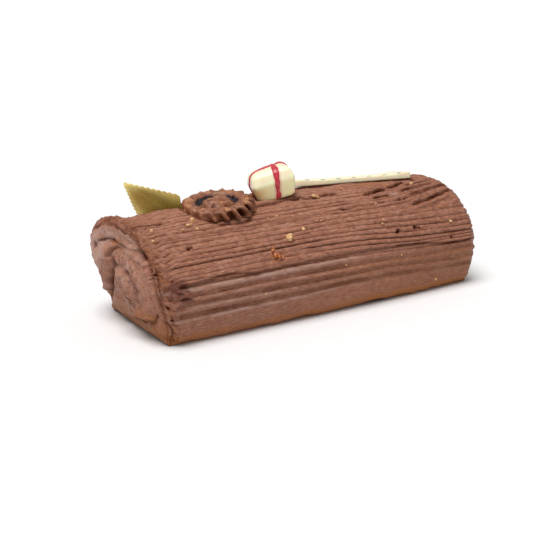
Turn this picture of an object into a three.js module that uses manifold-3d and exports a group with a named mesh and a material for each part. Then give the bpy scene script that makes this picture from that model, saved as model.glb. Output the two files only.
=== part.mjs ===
// A yule log cake: a roll covered in comb-marked chocolate buttercream with nut crumbs,
// topped with a leaf, a fluted chocolate disc, a ribboned parcel and a plaque.
// Millimetres. +X runs along the log, +Y to its back and +Z up.
// The origin is the centre of the flat underside.
import * as THREE from 'three';
import Module from 'manifold-3d';
import { mergeVertices } from 'three/addons/utils/BufferGeometryUtils.js';

const wasm = await Module();
wasm.setup();

// ---------------------------------------------------------------- driving dimensions

const TOUCH_GAP = 0.35;

const LOG = {
  halfWidth: 50,
  topHeight: 75.5,
  waistHeight: 29,
  lowerReach: 46,
  upperPower: 2.1,
  lowerPower: 2.5,
  footTuck: 0.03,
  footRound: 2.5,
  narrowing: 0.04,
  topDrop: 0.09,
};

const LEFT_END = {
  foot: -122,
  lean: 9,
  topLean: 5,
  bulge: 7.5,
  inset: 3.2,
  roll: 7,
  ear: { across: 36, height: 60, reach: 21, out: 7.9 },
};
const RIGHT_END = { foot: 122, belly: 4, bulge: 6, inset: 2, roll: 5 };
const CAP_CENTRE_HEIGHT = 35;

// Rolls climb each flank from the foot, and comb strokes cover the top.
// A roll of the flank swells towards its upper edge and turns back in just under it.
const FLANK_ROLLS = [22, 7, 6, 7.3];
const FLANK_RETURN = 1.6;
const COMB_PITCH = 3.4;
const FLANK_HEIGHT = 1.2;
const COMB_HEIGHT = 0.8;

// Towards the right end the front strokes spread: up near the crest and down below it.
// Each entry gives the place along the section, its reach, the move and the x it runs between.
const STROKE_FAN = [
  { length: 84, reach: 13, move: 11, from: 55, to: 122 },
  { length: 52, reach: 12, move: -7, from: -20, to: 122 },
  { length: 28, reach: 11, move: -4.8, from: 20, to: 112 },
];

// The middles of the rims, between which x runs along the strokes.
const STROKE_LEFT = -130;
const STROKE_RIGHT = 125;

// ---------------------------------------------------------------- small helpers

const radians = THREE.MathUtils.degToRad;
const degrees = THREE.MathUtils.radToDeg;
const mix = THREE.MathUtils.lerp;
const clamp = THREE.MathUtils.clamp;
const smooth = (value, low, high) => THREE.MathUtils.smoothstep(value, low, high);
const bell = (value) => Math.exp(-value * value);

// A repeatable value from 0 to 1 for each whole number.
function jitter(index) {
  const wave = Math.sin(index * 12.9898) * 43758.5453;
  return wave - Math.floor(wave);
}

// Collects points and triangles, and closes them into a solid.
class MeshBuilder {
  constructor() {
    this.positions = [];
    this.triangles = [];
  }

  point(x, y, z) {
    this.positions.push(x, y, z);
    return this.positions.length / 3 - 1;
  }

  // A closed ring of points, each with its fraction of the way round.
  ring(points) {
    const fractions = points.map((_, index) => index / points.length);
    return { ids: points.map(([x, y, z]) => this.point(x, y, z)), fractions };
  }

  triangle(a, b, c) {
    this.triangles.push(a, b, c);
  }

  quad(a, b, c, d) {
    this.triangle(a, b, c);
    this.triangle(a, c, d);
  }

  // Joins two closed rings that may hold different numbers of points.
  band(first, second) {
    const countA = first.ids.length;
    const countB = second.ids.length;
    let a = 0;
    let b = 0;
    while (a < countA || b < countB) {
      const nextA = a + 1 < countA ? first.fractions[a + 1] : 1;
      const nextB = b + 1 < countB ? second.fractions[b + 1] : 1;
      const idA = first.ids[a % countA];
      const idB = second.ids[b % countB];
      const stepA = b >= countB || (a < countA && nextA <= nextB);
      if (stepA) {
        this.triangle(idA, first.ids[(a + 1) % countA], idB);
        a += 1;
      } else {
        this.triangle(idA, second.ids[(b + 1) % countB], idB);
        b += 1;
      }
    }
  }

  // The mean of a ring's points.
  middle(ring) {
    return [0, 1, 2].map((axis) => (
      ring.ids.reduce((sum, id) => sum + this.positions[3 * id + axis], 0) / ring.ids.length
    ));
  }

  // Closes a ring with a fan; the ring's own direction decides which way it faces.
  fan(ring, centre, reversed = false) {
    const tip = this.point(...centre);
    ring.ids.forEach((id, index) => {
      const next = ring.ids[(index + 1) % ring.ids.length];
      if (reversed) this.triangle(next, id, tip);
      else this.triangle(id, next, tip);
    });
  }

  geometry() {
    const geometry = new THREE.BufferGeometry();
    geometry.setAttribute('position', new THREE.Float32BufferAttribute(this.positions, 3));
    geometry.setIndex(this.triangles);
    return geometry;
  }
}

function solidFrom(geometry) {
  const bare = geometry.clone();
  bare.deleteAttribute('normal');
  bare.deleteAttribute('uv');
  const merged = mergeVertices(bare, 1e-4);
  const mesh = new wasm.Mesh({
    numProp: 3,
    vertProperties: Float32Array.from(merged.attributes.position.array),
    triVerts: Uint32Array.from(merged.index.array),
  });
  return new wasm.Manifold(mesh);
}

function geometryFrom(solid) {
  const mesh = solid.getMesh();
  const geometry = new THREE.BufferGeometry();
  geometry.setAttribute('position', new THREE.BufferAttribute(mesh.vertProperties, 3));
  geometry.setIndex(new THREE.BufferAttribute(mesh.triVerts, 1));
  geometry.computeVertexNormals();
  return geometry;
}

// ---------------------------------------------------------------- section of the log

// The D-shaped section, from the front foot over the top to the back foot.
// Its upper half is nearly an ellipse, and its fuller lower half is cut by the underside.
function outlineTable() {
  const steps = 720;
  const upperRise = LOG.topHeight - LOG.waistHeight;
  const footAngle = Math.asin((LOG.waistHeight / LOG.lowerReach) ** (LOG.lowerPower / 2));
  const table = [];
  let length = 0;
  for (let step = 0; step <= steps; step += 1) {
    const angle = mix(-footAngle, Math.PI + footAngle, step / steps);
    const lower = Math.sin(angle) < 0;
    const power = 2 / (lower ? LOG.lowerPower : LOG.upperPower);
    const reach = lower ? LOG.lowerReach : upperRise;
    const side = Math.abs(Math.cos(angle)) ** power;
    const rise = Math.abs(Math.sin(angle)) ** power * (lower ? -1 : 1);
    const height = Math.max(0, LOG.waistHeight + reach * rise);
    const tuck = LOG.footTuck * Math.max(0, 1 - height / LOG.footRound) ** 2;
    const across = -Math.sign(Math.cos(angle)) * LOG.halfWidth * side * (1 - tuck);
    if (step > 0) {
      const last = table[step - 1];
      length += Math.hypot(across - last.across, height - last.height);
    }
    table.push({ across, height, length });
  }
  return table;
}

const OUTLINE = outlineTable();
const PERIMETER = OUTLINE[OUTLINE.length - 1].length;

function outlineAt(length) {
  const target = clamp(length, 0, PERIMETER);
  let low = 0;
  let high = OUTLINE.length - 1;
  while (high - low > 1) {
    const middle = (low + high) >> 1;
    if (OUTLINE[middle].length <= target) low = middle;
    else high = middle;
  }
  const share = (target - OUTLINE[low].length) / (OUTLINE[high].length - OUTLINE[low].length);
  return {
    across: mix(OUTLINE[low].across, OUTLINE[high].across, share),
    height: mix(OUTLINE[low].height, OUTLINE[high].height, share),
  };
}

function outlineNormal(length) {
  const before = outlineAt(length - 0.6);
  const after = outlineAt(length + 0.6);
  const along = Math.hypot(after.across - before.across, after.height - before.height);
  return {
    across: -(after.height - before.height) / along,
    height: (after.across - before.across) / along,
  };
}

// The length along the section at which a direction from the waist's middle meets it,
// in degrees from the front (0) over the top (90) to the back (180).
function lengthAtDirection(direction) {
  let low = 0;
  let high = PERIMETER;
  for (let step = 0; step < 40; step += 1) {
    const middle = (low + high) / 2;
    const point = outlineAt(middle);
    const angle = Math.atan2(point.height - LOG.waistHeight, -point.across);
    const turn = angle < -Math.PI / 2 ? angle + 2 * Math.PI : angle;
    if (turn < radians(direction)) low = middle;
    else high = middle;
  }
  return low;
}

// ---------------------------------------------------------------- strokes in the buttercream

// Where the comb's grooves lie along the section, on a middle stretch of the log.
function grooveLengths() {
  const flank = FLANK_ROLLS.reduce((sum, width) => sum + width, 0);
  const combSpan = PERIMETER - 2 * flank;
  const combCount = Math.round(combSpan / COMB_PITCH);
  const comb = Array.from({ length: combCount }, (_, index) => mix(0.8, 1.2, jitter(index + 3)));
  const combTotal = comb.reduce((sum, width) => sum + width, 0);
  const widths = [
    ...FLANK_ROLLS,
    ...comb.map((width) => (width * combSpan) / combTotal),
    ...[...FLANK_ROLLS].reverse(),
  ];
  const lengths = [0];
  widths.forEach((width) => lengths.push(lengths[lengths.length - 1] + width));
  return lengths;
}

const GROOVES = grooveLengths();
const ROLL_COUNT = GROOVES.length - 1;

function fanShift(length, x) {
  return STROKE_FAN.reduce((shift, fan) => (
    shift + fan.move * bell((length - fan.length) / fan.reach) * smooth(x, fan.from, fan.to)
  ), 0);
}

// A wave along x that differs from groove to groove.
function grooveWave(index, seed, wavelength, x) {
  return Math.sin(x / wavelength + 2 * Math.PI * jitter(index + seed));
}

function grooveAt(index, x) {
  const length = GROOVES[index];
  if (index === 0 || index === ROLL_COUNT) return length;
  const slow = 0.4 * grooveWave(index, 50, 31, x);
  const quick = 0.2 * grooveWave(index, 90, 12.3, x);
  return length + slow + quick + fanShift(length, x);
}

function nearestGroove(length) {
  let nearest = 1;
  GROOVES.forEach((groove, index) => {
    if (Math.abs(groove - length) < Math.abs(GROOVES[nearest] - length)) nearest = index;
  });
  return nearest;
}

function isFlankRoll(index) {
  return index < FLANK_ROLLS.length || index >= ROLL_COUNT - FLANK_ROLLS.length;
}

function rollHeight(index, x) {
  const base = isFlankRoll(index) ? FLANK_HEIGHT : COMB_HEIGHT;
  const along = 1 + 0.25 * grooveWave(index, 31, 19, x);
  return base * mix(0.7, 1.3, jitter(index + 7)) * along;
}

// The swell of a roll of the flank, from 0 at its grooves to 1, share running from 0 to 1 across it.
function flankSwell(index, share) {
  const upward = index < FLANK_ROLLS.length ? share : 1 - share;
  const underEdge = (1 - upward) * (GROOVES[index + 1] - GROOVES[index]);
  return smooth(upward, 0, 0.8) * smooth(underEdge, 0, FLANK_RETURN);
}

// Height of one roll between its two grooves, share running from 0 to 1 across it.
function rollProfile(index, share, x) {
  const swell = isFlankRoll(index) ? flankSwell(index, share) : 1 - Math.abs(2 * share - 1) ** 3;
  const meanRise = 0.6;
  return rollHeight(index, x) * (swell - meanRise);
}

// The fold of buttercream where the end's smear comes up over the top of the left rim,
// and the shallow dip just behind it.
function topLip(length, fromLeft) {
  const crest = PERIMETER / 2;
  const fold = 1.3 * bell((fromLeft - 3) / 6) * bell((length - crest - 26) / 18);
  const dip = 3.2 * bell((fromLeft - 19) / 12) * bell((length - crest - 8) / 28);
  return fold - dip;
}

// Torn strokes that leave deeper grooves: their places along the section and their stretch.
const TEARS = [
  { length: 56, from: -117, to: 110, depth: 0.5 },
  { length: 42.3, from: -112, to: 60, depth: 0.6 },
  { length: 75, from: 80, to: 116, depth: 1.4 },
  { length: 79, from: 88, to: 116, depth: 1.1 },
  { length: 88, from: 50, to: 94, depth: 1.5 },
];

function tearDepth(index, x) {
  let depth = 0;
  for (const tear of TEARS) {
    if (nearestGroove(tear.length) !== index) continue;
    const begun = smooth(x, tear.from - 6, tear.from + 6);
    const ended = smooth(x, tear.to - 6, tear.to + 6);
    depth += tear.depth * begun * (1 - ended);
  }
  return depth;
}

// ---------------------------------------------------------------- ends of the log

// Each end leans and swells, given here as x over a place on its face.
function leftFace(across, height) {
  const { foot, lean, topLean, ear } = LEFT_END;
  const fromEar = Math.hypot(across - ear.across, height - ear.height) / ear.reach;
  return foot - lean * smooth(height, 0, 46) - topLean * smooth(height, 58, 78) - ear.out * bell(fromEar);
}

function rightFace(across, height) {
  const offset = (height - 30) / 42;
  return RIGHT_END.foot + RIGHT_END.belly * (1 - offset * offset);
}

// Smeared folds on an end face. Angles run from the front (0) over the top (90) to the back.
const END_FOLDS = [
  { across: -10, height: 28, wide: 36, tall: 32, from: -20, to: 180, width: 4, rise: 2 },
  { across: -10, height: 28, wide: 42, tall: 37, from: 40, to: 140, width: 2.6, rise: -1.2 },
  { across: 40, height: 50, wide: 36.5, tall: 36.5, from: -85, to: -3, width: 2.8, rise: -3 },
  { across: 40, height: 50, wide: 27, tall: 27, from: -85, to: 10, width: 3, rise: 1.6 },
  { across: 40, height: 50, wide: 20, tall: 20, from: -80, to: -30, width: 2.6, rise: -1.6 },
  { across: -15, height: 36, wide: 10, tall: 8, from: -180, to: 180, width: 7, rise: 1.5 },
  { across: -12, height: 36, wide: 27, tall: 21, from: -80, to: -5, width: 3, rise: 1.3 },
  { across: -12, height: 36, wide: 20, tall: 15, from: -85, to: 0, width: 2.6, rise: -1 },
];

// Narrow folds fade out near the middle of the face, where scale goes to 0.
function endFold(across, height, scale) {
  const narrowest = 5;
  const middleFade = smooth(scale, 0.15, 0.45);
  let total = 0;
  for (const fold of END_FOLDS) {
    const offsetY = (across - fold.across) / fold.wide;
    const offsetZ = (height - fold.height) / fold.tall;
    const reach = Math.hypot(offsetY, offsetZ);
    const size = (fold.wide + fold.tall) / 2;
    const angle = degrees(Math.atan2(offsetZ, -offsetY));
    const begun = smooth(angle, fold.from - 8, fold.from + 14);
    const ended = smooth(angle, fold.to - 14, fold.to + 8);
    const around = fold.to - fold.from >= 360 ? 1 : begun * (1 - ended);
    const fade = fold.width > narrowest ? 1 : middleFade;
    total += fold.rise * around * fade * bell(((reach - 1) * size) / fold.width);
  }
  return total;
}

// ---------------------------------------------------------------- the buttercream log

const COMB_SHARES = [0, 0.3, 0.7];
const FLANK_SHARES = [0, 0.4, 0.82];
const FOOT_POINTS = 7;
const RING_STEPS = [0, 2.5, 6, 11, 18];
const RING_PITCH = 15;

// The shares across a roll at which the section has points.
function sharesOf(index) {
  if (!isFlankRoll(index)) return COMB_SHARES;
  if (index < FLANK_ROLLS.length) return FLANK_SHARES;
  return [0, ...FLANK_SHARES.slice(1).reverse().map((share) => 1 - share)];
}

// Distances of the rings from the left rim, closer together near both ends.
function ringDistances(span) {
  const innerCount = Math.round((span - 2 * RING_STEPS[RING_STEPS.length - 1]) / RING_PITCH);
  const last = RING_STEPS[RING_STEPS.length - 1];
  const inner = [];
  for (let step = 1; step < innerCount; step += 1) {
    inner.push(mix(last, span - last, step / innerCount));
  }
  const tail = [...RING_STEPS].reverse().map((distance) => span - distance);
  return [...RING_STEPS, ...inner, ...tail];
}

// The log narrows and drops a little towards its right end.
function taperedPoint(outline, x) {
  const above = Math.max(0, outline.height - LOG.waistHeight);
  return {
    across: outline.across * (1 - LOG.narrowing * smooth(x, 40, STROKE_RIGHT)),
    height: outline.height - above * LOG.topDrop * smooth(x, 30, STROKE_RIGHT + 10),
  };
}

// How far the rounding of a rim draws the side in, at a distance from that rim.
function rimInset(end, distance) {
  return end.inset * Math.max(0, 1 - distance / end.roll) ** 2;
}

// One point on the side of the log, at a distance from the left rim out of the whole span.
function sidePoint(length, relief, distance, span) {
  const outline = outlineAt(length);
  const normal = outlineNormal(length);
  const fraction = distance / span;
  const x = mix(STROKE_LEFT, STROKE_RIGHT, fraction);
  const footFade = smooth(Math.min(length, PERIMETER - length), 0, 3);
  const rounding = rimInset(LEFT_END, distance) + rimInset(RIGHT_END, span - distance);
  const rimBead = 0.9 * bell((distance - 6) / 3);
  const combed = smooth(distance, 3, 12);
  const lift = relief * combed + rimBead + topLip(length, distance) - rounding;
  const tapered = taperedPoint(outline, x);
  const across = tapered.across + normal.across * lift * footFade;
  const height = Math.max(0, tapered.height + normal.height * lift * footFade);
  const left = leftFace(outline.across, outline.height);
  const right = rightFace(outline.across, outline.height);
  return [mix(left, right, fraction), across, height];
}

// The rings of the log's side, each closed by points along the flat underside.
function sideRings(builder, span) {
  return ringDistances(span).map((distance) => {
    const x = mix(STROKE_LEFT, STROKE_RIGHT, distance / span);
    const points = [];
    for (let roll = 0; roll < ROLL_COUNT; roll += 1) {
      const start = grooveAt(roll, x);
      const end = grooveAt(roll + 1, x);
      for (const share of sharesOf(roll)) {
        const tear = share === 0 ? tearDepth(roll, x) : 0;
        const relief = rollProfile(roll, share, x) - tear;
        points.push(sidePoint(mix(start, end, share), relief, distance, span));
      }
    }
    const back = sidePoint(PERIMETER, 0, distance, span);
    const front = points[0];
    points.push(back);
    for (let step = 1; step < FOOT_POINTS; step += 1) {
      points.push([back[0], mix(back[1], front[1], step / FOOT_POINTS), 0]);
    }
    return builder.ring(points);
  });
}

const CAP_RINGS = [
  { scale: 0.94, keep: 1 },
  { scale: 0.86, keep: 2 },
  { scale: 0.77, keep: 2 },
  { scale: 0.68, keep: 2 },
  { scale: 0.58, keep: 3 },
  { scale: 0.48, keep: 3 },
  { scale: 0.38, keep: 6 },
  { scale: 0.27, keep: 6 },
  { scale: 0.16, keep: 9 },
];

// Closes an end with rings that shrink to its middle and follow its bulge and folds.
function closeEnd(builder, rim, side, faceX, bulge) {
  const centre = [0, CAP_CENTRE_HEIGHT];
  const surface = (across, height, scale) => {
    const dome = bulge * (1 - scale ** 3);
    const fold = endFold(-side * across, height, scale) * smooth(1 - scale, 0, 0.12);
    return faceX(across, height) + side * (dome + fold);
  };
  let previous = rim;
  for (const { scale, keep } of CAP_RINGS) {
    const points = [];
    const fractions = [];
    rim.ids.forEach((id, index) => {
      if (index % keep !== 0) return;
      const across = mix(centre[0], builder.positions[3 * id + 1], scale);
      const height = mix(centre[1], builder.positions[3 * id + 2], scale);
      points.push([surface(across, height, scale), across, height]);
      fractions.push(rim.fractions[index]);
    });
    const ring = builder.ring(points);
    ring.fractions = fractions;
    if (side < 0) builder.band(previous, ring);
    else builder.band(ring, previous);
    previous = ring;
  }
  builder.fan(previous, [surface(...centre, 0), ...centre], side > 0);
}

function logGeometry() {
  const builder = new MeshBuilder();
  const span = rightFace(0, LOG.waistHeight) - leftFace(0, LOG.waistHeight);
  const rings = sideRings(builder, span);
  for (let index = 1; index < rings.length; index += 1) {
    builder.band(rings[index], rings[index - 1]);
  }
  closeEnd(builder, rings[0], -1, leftFace, LEFT_END.bulge);
  closeEnd(builder, rings[rings.length - 1], 1, rightFace, RIGHT_END.bulge);
  return builder.geometry();
}

// ---------------------------------------------------------------- nut crumbs

// The crumbs that stand out most: x, direction from the waist, and size.
const LARGE_CRUMBS = [
  [-31, 36, 5],
  [-18, 40, 3],
  [-97, 62, 3.2],
  [-91, 68, 3],
  [-92, 57, 2.6],
  [-42, 24, 3.6],
  [7, 73, 2.6],
  [89, 71, 2.8],
  [-123, 62, 2.6],
  [-126, 52, 2.4],
];
const SMALL_CRUMB_COUNT = 12;
const CRUMB_SEED = 11;

function crumbGeometry([x, direction, size], seed) {
  const length = lengthAtDirection(direction);
  const middle = taperedPoint(outlineAt(length), x);
  const geometry = new THREE.IcosahedronGeometry(size / 2, 0);
  geometry.scale(1.1, 0.8, 0.75);
  geometry.rotateX(2 * Math.PI * jitter(seed));
  geometry.rotateY(2 * Math.PI * jitter(seed + 1));
  geometry.rotateZ(2 * Math.PI * jitter(seed + 2));
  geometry.translate(x, middle.across, middle.height);
  return geometry;
}

// Small crumbs spread over the top by a seeded rule, clear of the toppings along the crest.
function smallCrumbs() {
  const crumbs = [];
  for (let index = 0; index < SMALL_CRUMB_COUNT; index += 1) {
    const seed = CRUMB_SEED * 10 + index * 3;
    const x = mix(-112, 112, (index + jitter(seed)) / SMALL_CRUMB_COUNT);
    const front = index % 3 !== 2;
    const direction = front ? mix(5, 58, jitter(seed + 1)) : mix(124, 168, jitter(seed + 1));
    crumbs.push([x, direction, mix(1.8, 2.6, jitter(seed + 2))]);
  }
  return crumbs;
}

// ---------------------------------------------------------------- leaf

const LEAF = {
  tip: [-120.2, 93.5],
  lowerEdge: 70.5,
  upperEdge: 17.3,
  rootHeight: 68.8,
  rightEnd: -85.6,
  depth: 8.2,
  swing: 0.3,
  leanBack: 0.12,
  thickness: 1.8,
  tooth: 0.8,
  rows: 20,
  columns: 8,
};

// A point on the leaf's middle surface, which spreads from the tip as a fan of lines.
// Columns count across the fan and rows down it; the outer columns carry the teeth.
function leafPoint(column, row, gap) {
  const angle = radians(mix(LEAF.lowerEdge, LEAF.upperEdge, column / LEAF.columns));
  const toRoot = (LEAF.tip[1] - LEAF.rootHeight + gap) / Math.sin(angle);
  const toRight = (LEAF.rightEnd - LEAF.tip[0] + gap) / Math.cos(angle);
  const distance = Math.min(toRoot, toRight) * mix(0.02, 1, row / LEAF.rows);
  const side = Math.sign(column) + Math.sign(column - LEAF.columns);
  const inner = row > 0 && row < LEAF.rows;
  const outward = side * ((inner ? (row % 2) * LEAF.tooth : 0) + gap);
  const x = LEAF.tip[0] + distance * Math.cos(angle) + outward * Math.sin(angle);
  const z = LEAF.tip[1] - distance * Math.sin(angle) + outward * Math.cos(angle);
  const wave = 0.9 * Math.sin((x + z) / 7) + 0.5 * Math.sin((x - 2 * z) / 9);
  const swung = LEAF.swing * (LEAF.rightEnd - x);
  return [x, LEAF.depth + swung + LEAF.leanBack * (z - LEAF.rootHeight) + wave, z];
}

// The places round the leaf's edge, in order: [column, row].
function leafRim() {
  const { rows, columns } = LEAF;
  const rim = [];
  for (let row = 0; row < rows; row += 1) rim.push([0, row]);
  for (let column = 0; column < columns; column += 1) rim.push([column, rows]);
  for (let row = rows; row > 0; row -= 1) rim.push([columns, row]);
  for (let column = columns; column > 0; column -= 1) rim.push([column, 0]);
  return rim;
}

function leafFace(builder, gap, shift) {
  return Array.from({ length: LEAF.columns + 1 }, (_column, column) => (
    Array.from({ length: LEAF.rows + 1 }, (_row, row) => {
      const [x, y, z] = leafPoint(column, row, gap);
      return builder.point(x, y + shift, z);
    })
  ));
}

function leafGeometry(gap) {
  const builder = new MeshBuilder();
  const half = LEAF.thickness / 2 + gap;
  const front = leafFace(builder, gap, -half);
  const back = leafFace(builder, gap, half);
  for (let column = 0; column < LEAF.columns; column += 1) {
    for (let row = 0; row < LEAF.rows; row += 1) {
      const next = column + 1;
      builder.quad(front[column][row], front[column][row + 1], front[next][row + 1], front[next][row]);
      builder.quad(back[column][row], back[next][row], back[next][row + 1], back[column][row + 1]);
    }
  }
  const rim = leafRim();
  rim.forEach(([column, row], index) => {
    const [nextColumn, nextRow] = rim[(index + 1) % rim.length];
    const [here, next] = [[column, row], [nextColumn, nextRow]].map(([c, r]) => [front[c][r], back[c][r]]);
    builder.quad(here[0], here[1], next[1], next[0]);
  });
  return builder.geometry();
}

// ---------------------------------------------------------------- fluted disc

const DISC = {
  radius: 24.2,
  flutes: 18,
  fluteTurn: 10.3,
  thickness: 7.4,
  centre: [-64.6, -3.6, 79.8],
  riseToRight: 0.098,
  riseToBack: 0.033,
};

// Rings of the disc from its underside to its middle: radius, height, flute depth and points.
function discRings() {
  const full = DISC.flutes * 3;
  const { radius, thickness } = DISC;
  return [
    { radius: radius * 0.55, height: -thickness, flute: 0, count: full / 2 },
    { radius: radius - 2, height: -thickness, flute: 1.2, count: full },
    { radius: radius - 0.6, height: -thickness * 0.75, flute: 1.7, count: full },
    { radius: radius - 1.1, height: -thickness * 0.25, flute: 1.1, count: full },
    { radius: radius - 2.2, height: 0, flute: 0.6, count: full },
    { radius: radius * 0.63, height: -0.4, flute: 0, count: full / 2 },
    { radius: radius * 0.57, height: -1.9, flute: 0, count: full / 2 },
    { radius: radius * 0.4, height: -1.9, flute: 0, count: full / 2 },
    { radius: radius * 0.34, height: -0.5, flute: 0, count: full / 2 },
    { radius: radius * 0.16, height: 0.3, flute: 0, count: full / 3 },
  ];
}

function discPlacement(geometry) {
  const normal = new THREE.Vector3(-DISC.riseToRight, -DISC.riseToBack, 1).normalize();
  const turn = new THREE.Quaternion().setFromUnitVectors(new THREE.Vector3(0, 0, 1), normal);
  geometry.applyQuaternion(turn);
  geometry.translate(...DISC.centre);
  return geometry;
}

function discGeometry() {
  const builder = new MeshBuilder();
  const rings = discRings().map(({ radius, height, flute, count }) => {
    const points = [];
    for (let index = 0; index < count; index += 1) {
      const angle = (index / count) * 2 * Math.PI + radians(DISC.fluteTurn);
      const fluteShare = ((index / count) * DISC.flutes) % 1;
      const tip = Math.abs(fluteShare - 1 / 3) < 0.01 ? 1 : -0.5;
      const reach = radius + (count === DISC.flutes * 3 ? flute * tip : 0);
      points.push([reach * Math.cos(angle), reach * Math.sin(angle), height]);
    }
    return builder.ring(points);
  });
  for (let index = 1; index < rings.length; index += 1) {
    builder.band(rings[index - 1], rings[index]);
  }
  builder.fan(rings[0], [0, 0, -DISC.thickness], true);
  builder.fan(rings[rings.length - 1], [0, 0, 0.5]);
  return discPlacement(builder.geometry());
}

// The space that the disc takes up, open above it to a height over its rim.
function discSpace(rise) {
  const reach = DISC.radius + 1.2 + TOUCH_GAP;
  const height = DISC.thickness + TOUCH_GAP + rise;
  const geometry = new THREE.CylinderGeometry(reach, reach, height, 48);
  geometry.rotateX(Math.PI / 2);
  geometry.translate(0, 0, height / 2 - DISC.thickness - TOUCH_GAP);
  return discPlacement(geometry);
}

// ---------------------------------------------------------------- ribboned parcel

const PARCEL = {
  length: 30.8,
  depth: 24,
  height: 21.8,
  bellyHeight: 12.4,
  corner: 5,
  baseInset: 2.6,
  shoulderHeight: 18.6,
  shoulderInset: 3,
  centre: [-16.8, -1.7, 74.8],
  turn: -20,
  rollAxis: [-0.53, -0.85, 0],
  roll: 15.5,
};

// The ribbon over the front leans from its foot to the top, and the one over the length
// slides back past the middle.
const RIBBON = { width: 3.1, proud: 0.7, sunk: 0.8, footOffset: 0.3, topOffset: 4.1, slide: 5.5 };

// The parcel's rings from its base to its top: height and inset from the belly.
function parcelLevels() {
  const { height, bellyHeight, baseInset, shoulderHeight, shoulderInset } = PARCEL;
  return [
    { height: 0, inset: baseInset + 1.2 },
    { height: 1, inset: baseInset },
    { height: bellyHeight, inset: 0 },
    { height: shoulderHeight, inset: shoulderInset - 1.2 },
    { height: mix(shoulderHeight, height, 0.62), inset: shoulderInset + 1.4 },
    { height: mix(shoulderHeight, height, 0.9), inset: shoulderInset + 5 },
  ];
}

// A rounded rectangle, anticlockwise from its right side.
function roundedRectangle(halfLength, halfDepth, radius, cornerSteps) {
  const points = [];
  const corners = [
    [halfLength - radius, halfDepth - radius, 0],
    [radius - halfLength, halfDepth - radius, 90],
    [radius - halfLength, radius - halfDepth, 180],
    [halfLength - radius, radius - halfDepth, 270],
  ];
  corners.forEach(([x, y, start]) => {
    for (let step = 0; step <= cornerSteps; step += 1) {
      const angle = radians(start + (90 * step) / cornerSteps);
      points.push([x + radius * Math.cos(angle), y + radius * Math.sin(angle)]);
    }
  });
  return points;
}

function parcelPlacement(geometry) {
  geometry.rotateZ(radians(PARCEL.turn));
  const axis = new THREE.Vector3(...PARCEL.rollAxis).normalize();
  geometry.applyQuaternion(new THREE.Quaternion().setFromAxisAngle(axis, radians(PARCEL.roll)));
  geometry.translate(...PARCEL.centre);
  return geometry;
}

function parcelBody(gap) {
  const builder = new MeshBuilder();
  const rings = parcelLevels().map(({ height, inset }, index) => {
    const halfLength = PARCEL.length / 2 - inset + gap;
    const halfDepth = PARCEL.depth / 2 - inset + gap;
    const radius = Math.min(PARCEL.corner, halfDepth - 1);
    const drop = index === 0 ? gap : 0;
    const outline = roundedRectangle(halfLength, halfDepth, radius, 3);
    return builder.ring(outline.map(([x, y]) => [x, y, height - drop]));
  });
  for (let index = 1; index < rings.length; index += 1) {
    builder.band(rings[index - 1], rings[index]);
  }
  builder.fan(rings[0], [0, 0, -gap], true);
  builder.fan(rings[rings.length - 1], [0, 0, PARCEL.height]);
  return builder.geometry();
}

// The path of a ribbon over the parcel, from its foot on one side to its foot on the other.
function ribbonPath(halfSpan) {
  const rise = parcelLevels().map(({ height, inset }) => [halfSpan - inset, height]);
  const fall = [...rise].reverse().map(([reach, height]) => [-reach, height]);
  return [...rise.slice(1), [0, PARCEL.height], ...fall.slice(0, -1)];
}

function ribbonGeometry(halfSpan, alongDepth) {
  const path = ribbonPath(halfSpan);
  const builder = new MeshBuilder();
  const rings = path.map(([reach, height], index) => {
    const before = path[Math.max(0, index - 1)];
    const after = path[Math.min(path.length - 1, index + 1)];
    const run = [after[0] - before[0], after[1] - before[1]];
    const size = Math.hypot(...run);
    const outward = [run[1] / size, -run[0] / size];
    const half = (RIBBON.width / 2) * (1 + 0.15 * Math.sin(index * 2.1));
    const lean = mix(RIBBON.footOffset, RIBBON.topOffset, height / PARCEL.height);
    const slide = RIBBON.slide * smooth(reach, 3, 10);
    const corner = (lift, across) => {
      const along = reach + outward[0] * lift;
      const up = height + outward[1] * lift;
      return alongDepth ? [lean - across, along, up] : [along, across + slide, up];
    };
    return builder.ring([
      corner(RIBBON.proud * 0.5, -half),
      corner(RIBBON.proud, -half * 0.5),
      corner(RIBBON.proud, half * 0.5),
      corner(RIBBON.proud * 0.5, half),
      corner(-RIBBON.sunk, half),
      corner(-RIBBON.sunk, -half),
    ]);
  });
  for (let index = 1; index < rings.length; index += 1) {
    builder.band(rings[index - 1], rings[index]);
  }
  builder.fan(rings[0], builder.middle(rings[0]), true);
  builder.fan(rings[rings.length - 1], builder.middle(rings[rings.length - 1]));
  return builder.geometry();
}

function parcelSolid() {
  const body = solidFrom(parcelBody(0));
  const overFront = solidFrom(ribbonGeometry(PARCEL.depth / 2, true));
  const overLength = solidFrom(ribbonGeometry(PARCEL.length / 2, false));
  return body.add(overFront).add(overLength);
}

// ---------------------------------------------------------------- plaque

const PLAQUE = {
  length: 96,
  width: 26,
  thickness: 3.6,
  bevel: 0.6,
  corner: 3,
  frontMiddle: [53, 2.2, 74.9],
  turn: -7,
  fall: 2,
  tiltBack: 11.5,
};

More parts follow.
